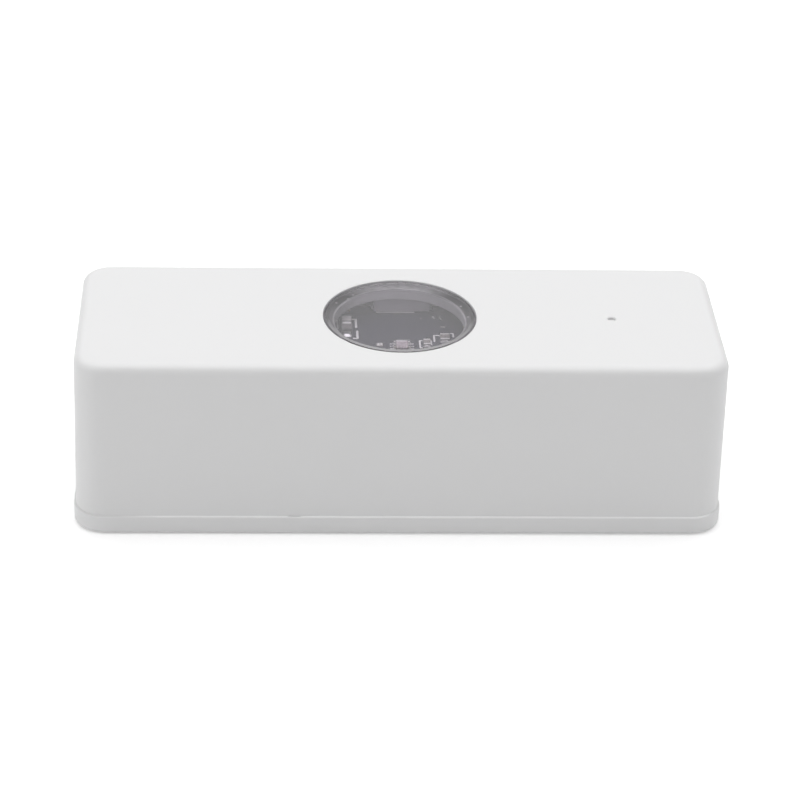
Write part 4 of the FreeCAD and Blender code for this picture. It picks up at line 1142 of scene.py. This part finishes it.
# Small parts on the board: the CAD shape with softened edges, and their printed or pressed marks
softened = {
    # node: edge, finish, slot
    "chip_capacitors": (0.05, "ceramicTan", "capacitor_ceramic"),
    "chip_resistors": (0.03, "resistorGlaze", "resistor_ceramic"),
    "chip_terminals": (0.06, "tinPlate", "tinned_metal"),
    "tantalum_capacitor_body": (0.09, "tantalumEpoxy", "tantalum_body"),
    "tantalum_capacitor_tabs": (0.04, "tinPlate", "tinned_metal"),
    "status_light": (0.08, "lightResin", "status_light"),
    "plug_connector": (0.10, "nylonPale", "connector_white"),
    "plug_connector_pins": (0.06, "goldPlate", "gold_leads"),
    "microcontroller": (0.10, "epoxyBlack", "chip_black"),
    "crystal": (0.12, "shieldSteel", "crystal_metal"),
    "bulk_capacitor_base": (0.15, "epoxyBlack", "chip_black"),
    "switch_terminals": (0.04, "tinPlate", "tinned_metal"),
}


def makeSoftened():
    for node, (edge, finish, slotName) in softened.items():
        makePiece(softenedCopy(node, edge), "soft_" + node, finish, slotName, node)


# Light sensor: a low clear package, its bond pads and wires, the row of bright contacts along the
# die's far edge, and three short lands on each side
sensor = {
    "height": 0.52, "edge": 0.06, "wire": 0.018, "wireSides": 8, "wireSteps": 8, "loop": 0.08, "contacts": 7,
    "pad": (0.075, 0.055, 0.012), "contact": (0.082, 0.14, 0.012), "land": (0.17, 0.08, 0.03),
    "landGap": 0.3, "padIn": 0.14, "leadIn": 0.06, "contactIn": 0.16, "contactBack": 0.15, "sunk": 0.002,
}


def makeSensorPackage():
    low, high = boxOf("light_sensor_package")
    high.z = low.z + sensor["height"]
    form = bmesh.new()
    size = Matrix.Diagonal((*(high - low), 1.0))
    bmesh.ops.create_cube(form, size=1.0, matrix=Matrix.Translation((low + high) / 2) @ size)
    bevelEdges(form, form.edges[:], sensor["edge"])
    makePiece(form, "sensorPackage", "sensorClear", "sensor_clear", "light_sensor_package")


def makeSensorBonds():
    packageLow, packageHigh = boxOf("light_sensor_package")
    low, high = boxOf("light_sensor_die")
    top = high.z
    lands = []
    pads = []
    wires = []
    for leadLow, leadHigh in solidsOf("light_sensor_leads"):
        y = (leadLow.y + leadHigh.y) / 2
        if leadLow.x + leadHigh.x < packageLow.x + packageHigh.x:
            landX = packageLow.x - sensor["landGap"]
            padX = low.x + sensor["padIn"]
            leadX = leadHigh.x - sensor["leadIn"]
        else:
            landX = packageHigh.x + sensor["landGap"]
            padX = high.x - sensor["padIn"]
            leadX = leadLow.x + sensor["leadIn"]
        lands.append(onBoard(landX, y, sensor["land"], board["landSunk"]))
        pads.append(((padX, y, top - sensor["sunk"]), sensor["pad"]))
        wire = []
        for step in range(sensor["wireSteps"] + 1):
            share = step / sensor["wireSteps"]
            lift = sensor["loop"] * math.sin(math.pi * share)
            wire.append((padX + (leadX - padX) * share, y, top + (leadHigh.z - top) * share + lift))
        wires.append(wire)
    growCopies("sensorLands", padShape(), lands, "contactPale", "tinned_metal")
    first = low.x + sensor["contactIn"]
    pitch = (high.x - sensor["contactIn"] - first) / (sensor["contacts"] - 1)
    for step in range(sensor["contacts"]):
        point = (first + step * pitch, high.y - sensor["contactBack"], top - sensor["sunk"])
        pads.append((point, sensor["contact"]))
    growCopies("bondPads", padShape(), pads, "contactPale", "tinned_metal")
    growWire("bondWires", wires, sensor["wire"], sensor["wireSides"], "goldPlate", "gold_leads")


# Tantalum capacitor: a grey band at its far end and a bright bar, on its top
tantalumPrint = {
    "sunk": 0.005, "proud": 0.012, "edge": 0.004,
    "marks": [
        # name, finish, in from the sides, near and far edge measured in from the far end, corner
        ("tantalumBand", "bandGrey", 0.12, 1.4, 0.12, 0.08),
        ("tantalumBar", "inkWhite", 0.14, 2.22, 1.72, 0.05),
    ],
}


def makeTantalumPrint():
    low, high = boxOf("tantalum_capacitor_body")
    bottom = high.z - tantalumPrint["sunk"]
    top = high.z + tantalumPrint["proud"]
    for name, finish, side, near, far, corner in tantalumPrint["marks"]:
        form = bmesh.new()
        addPlate(form, (low.x + side, high.y - near, bottom), (high.x - side, high.y - far, top), corner,
                 tantalumPrint["edge"], 2)
        makePiece(form, name, finish, "tantalum_body")


# Microcontroller: a polished dimple that marks its first lead, as (radius, height over the top)
dimple = {"in": 0.95, "steps": 32,
          "rows": [(0, -0.01), (0.42, -0.01), (0.42, 0.012), (0.36, 0.012), (0.24, 0.003), (0, 0.001)]}


def makeControllerDimple():
    low, high = boxOf("microcontroller")
    form = bmesh.new()
    rows = [(radius, high.z + rise) for radius, rise in dimple["rows"]]
    addTurned(form, rows, dimple["steps"], (low.x + dimple["in"], low.y + dimple["in"]))
    makePiece(form, "controllerDimple", "resistorGlaze", "chip_black", smoothAngle=40)


# Radio shield: its vent holes drawn as black discs on the lid, painted shade in place of the holes, and a
# raised seam
shield = {"hole": (0.35, 0.35, 0.018), "holeSunk": 0.012, "holeIn": 1.3, "holesInRow": 6, "holePitch": 1.5,
          "seamIn": 2.3, "seamWidth": 0.16, "seamHeight": 0.05, "seamCorner": 0.5, "seamProud": 0.01}


def makeShieldHoleShadeAndSeam():
    low, high = boxOf("radio_module_shield")
    rows = []
    for y in (low.y + shield["holeIn"], high.y - shield["holeIn"]):
        for step in range(shield["holesInRow"]):
            x = (low.x + high.x) / 2 + shield["holePitch"] * (step - 0.5 * (shield["holesInRow"] - 1))
            rows.append(((x, y, high.z - shield["holeSunk"]), shield["hole"]))
    growCopies("shieldHoles", discShape(), rows, "inkBlack", "shield_steel")
    inset = shield["seamIn"]
    left, right, front, back = low.x + inset, high.x - inset, low.y + inset, high.y - inset
    seam = [(left, front), (right, front), (right, back), (left, back), (left, front)]
    growStrips("shieldSeam", atHeight(high.z + shield["seamProud"], [seam]), shield["seamWidth"],
               shield["seamHeight"], shield["seamCorner"], "shieldSteel", "shield_steel")


# Bulk capacitor: a printed half moon on the can's end, and its scored vent drawn as grey strips, painted
# shade of the score lines; lines from the can's middle
canMarks = {"moonIn": 0.55, "moonAngle": 62, "moonSteps": 24, "moonProud": 0.015, "moonSunk": 0.01,
            "vent": [[(-2.4, 0.0), (1.2, 0.0)], [(-1.11, 0.16), (-2.2, 1.7)],
                     [(-1.11, -0.16), (-2.2, -1.7)]],
            "ventWidth": 0.16, "ventHeight": 0.016, "ventProud": 0.004, "ventCorner": 0.02}


def makeCanPrint():
    low, high = boxOf("bulk_capacitor_can")
    middle = (low + high) / 2
    radius = 0.5 * (high.x - low.x) - canMarks["moonIn"]
    half = canMarks["moonAngle"]
    steps = canMarks["moonSteps"]
    outline = []
    for step in range(steps + 1):
        angle = math.radians(-half + 2 * half * step / steps)
        outline.append((middle.x + radius * math.cos(angle), middle.y + radius * math.sin(angle)))
    form = bmesh.new()
    ends = [[form.verts.new((x, y, height)) for x, y in outline]
            for height in (low.z - canMarks["moonProud"], low.z + canMarks["moonSunk"])]
    joinRings(form, *ends)
    for end in ends:
        form.faces.new(end)
    makePiece(form, "canPolarity", "inkBlack", "capacitor_can")
    vent = [[(middle.x + x, middle.y + y) for x, y in line] for line in canMarks["vent"]]
    growStrips("canVent", atHeight(low.z - canMarks["ventProud"], vent), canMarks["ventWidth"],
               canMarks["ventHeight"], canMarks["ventCorner"], "inkGrey", "capacitor_can")


# Function switch: a low snap dome that leaves the key its travel, and four pips that hold the lid.
# The arch is (share of the radius, drop from the crown)
snapDome = {"rise": 0.16, "thickness": 0.07, "foot": 0.04, "steps": 40,
            "arch": [(0, 0.0), (0.35, 0.005), (0.65, 0.03)], "shoulder": (0.9, 0.08), "footInner": 0.93}
pips = {"in": 0.55, "size": (0.3, 0.3, 0.12), "sunk": 0.01}


def makeSnapDome():
    low, high = boxOf("switch_dome")
    radius = 0.5 * (high.x - low.x)
    crown = low.z + snapDome["rise"]
    arch = [(share * radius, crown - drop) for share, drop in snapDome["arch"]]
    share, drop = snapDome["shoulder"]
    rows = arch + [(share * radius, crown - drop), (radius, low.z + snapDome["foot"]), (radius, low.z),
                   (snapDome["footInner"] * radius, low.z)]
    rows += [(reach, height - snapDome["thickness"]) for reach, height in reversed(arch)]
    form = bmesh.new()
    addTurned(form, rows, snapDome["steps"], ((low.x + high.x) / 2, (low.y + high.y) / 2))
    makePiece(form, "snapDome", "springSteel", "contact_steel", "switch_dome", smoothAngle=40)


def makeSwitchPips():
    low, high = boxOf("switch_cover")
    rows = [((x, y, high.z - pips["sunk"]), pips["size"]) for x in (low.x + pips["in"], high.x - pips["in"])
            for y in (low.y + pips["in"], high.y - pips["in"])]
    growCopies("switchPips", discShape(), rows, "nylonBlack", "switch_black")


makeSoftened()
makeSensorPackage()
makeSensorBonds()
makeTantalumPrint()
makeControllerDimple()
makeShieldHoleShadeAndSeam()
makeAerial()
makeCanPrint()
makeSnapDome()
makeSwitchPips()
print("board parts ready")


# Button cells: a raised plus sign pressed into each can's outer face
cellMark = {"reach": 1.7, "width": 0.55, "height": 0.06, "sunk": 0.01, "corner": 0.02, "offset": 6.6}


def makeCellMarks():
    for cell in cells:
        low, high = boxOf(cell + "_can")
        middle = (low + high) / 2
        level = low.z - 0.5 * cellMark["height"] + cellMark["sunk"]
        strokes = plusSign(middle.x, middle.y - cellMark["offset"], cellMark["reach"], cellMark["width"])
        growStrips(cell + "Plus", atHeight(level, strokes), cellMark["width"], cellMark["height"],
                   cellMark["corner"], cell + "Steel", "cell_steel", cell)


# Mounting tape: foam between two adhesive faces, with a split release paper under it
tape = {"paper": 0.12, "skin": 0.05, "corner": 2.0, "overhang": 0.4, "split": 0.25, "paperCorner": 0.6,
        "paperEdge": 0.03}


def makeMountingTape():
    low, high = boxOf("mounting_tape")
    middle = low.z + tape["paper"]
    form = bmesh.new()
    addPlate(form, (low.x, low.y, middle), high, tape["corner"], tape["skin"])
    makePiece(form, "tapeFoam", "foamTape", "foam_tape", "mounting_tape", body="base")
    form = bmesh.new()
    over = tape["overhang"]
    for left, right in ((low.x - over, -0.5 * tape["split"]), (0.5 * tape["split"], high.x + over)):
        addPlate(form, (left, low.y - over, low.z), (right, high.y + over, middle), tape["paperCorner"],
                 tape["paperEdge"])
    makePiece(form, "tapePaper", "linerPaper", "foam_tape", body="base")


makeCellMarks()
makeMountingTape()
print("cells and mounting tape ready")


# Studio: a white floor, soft boxes and an even surround
studio = {
    "floorHalf": 3.0, "floorTone": 0.86, "floorGlow": 0.33, "floorRough": 0.9, "surround": 0.356,
    "boxes": [
        # name, middle, looks at, width, height, watts
        ("overhead", (0.0, 0.10, 0.80), (0.0, 0.0, 0.0), 0.90, 0.90, 4.75),
        ("behind", (0.0, 0.95, 0.56), (0.0, 0.0, 0.02), 1.30, 0.42, 1.4),
        ("left", (-0.85, -0.25, 0.40), (0.0, 0.0, 0.02), 0.50, 0.60, 1.3),
        ("right", (0.85, -0.20, 0.40), (0.0, 0.0, 0.02), 0.50, 0.60, 0.8),
    ],
}


def makeFloor():
    half = studio["floorHalf"]
    corners = [(-half, -half, 0), (half, -half, 0), (half, half, 0), (-half, half, 0)]
    mesh = bpy.data.meshes.new("studioFloor")
    mesh.from_pydata(corners, [], [(0, 1, 2, 3)])
    floor = addObject("studioFloor", mesh)
    tree, shader, output = startMaterial("floorWhite")
    feedAll(tree, shader, {"Base Color": (studio["floorTone"],) * 3, "Roughness": studio["floorRough"],
                           "Specular IOR Level": 0.0})
    rays = add(tree, "ShaderNodeLightPath").outputs
    seen = maths(tree, "MAXIMUM", rays["Is Camera Ray"], rays["Is Glossy Ray"])
    seen = maths(tree, "MAXIMUM", seen, rays["Is Transmission Ray"])
    glow = add(tree, "ShaderNodeEmission", {"Strength": maths(tree, "MULTIPLY", seen, studio["floorGlow"])})
    both = add(tree, "ShaderNodeAddShader", {0: shader.outputs[0], 1: glow.outputs[0]})
    feed(tree, both.outputs[0], output.inputs[0])
    mesh.materials.append(materials["floorWhite"])


def makeSurround():
    world = bpy.data.worlds.new("studioSurround")
    bpy.context.scene.world = world
    world.use_nodes = True
    tree = world.node_tree
    seen = add(tree, "ShaderNodeLightPath").outputs["Is Camera Ray"]
    level = mixColour(tree, seen, (studio["surround"],) * 3, (1.0, 1.0, 1.0))
    feed(tree, level, tree.nodes["Background"].inputs["Color"])


def makeSoftBoxes():
    for name, middle, target, width, height, watts in studio["boxes"]:
        data = bpy.data.lights.new(name + "Box", "AREA")
        data.shape = "RECTANGLE"
        data.size = width
        data.size_y = height
        data.energy = watts
        lamp = addObject(name + "Box", data)
        lamp.location = middle
        aim = Vector(target) - Vector(middle)
        lamp.rotation_euler = aim.to_track_quat("-Z", "Y").to_euler()


makeFloor()
makeSurround()
makeSoftBoxes()
print("studio ready")
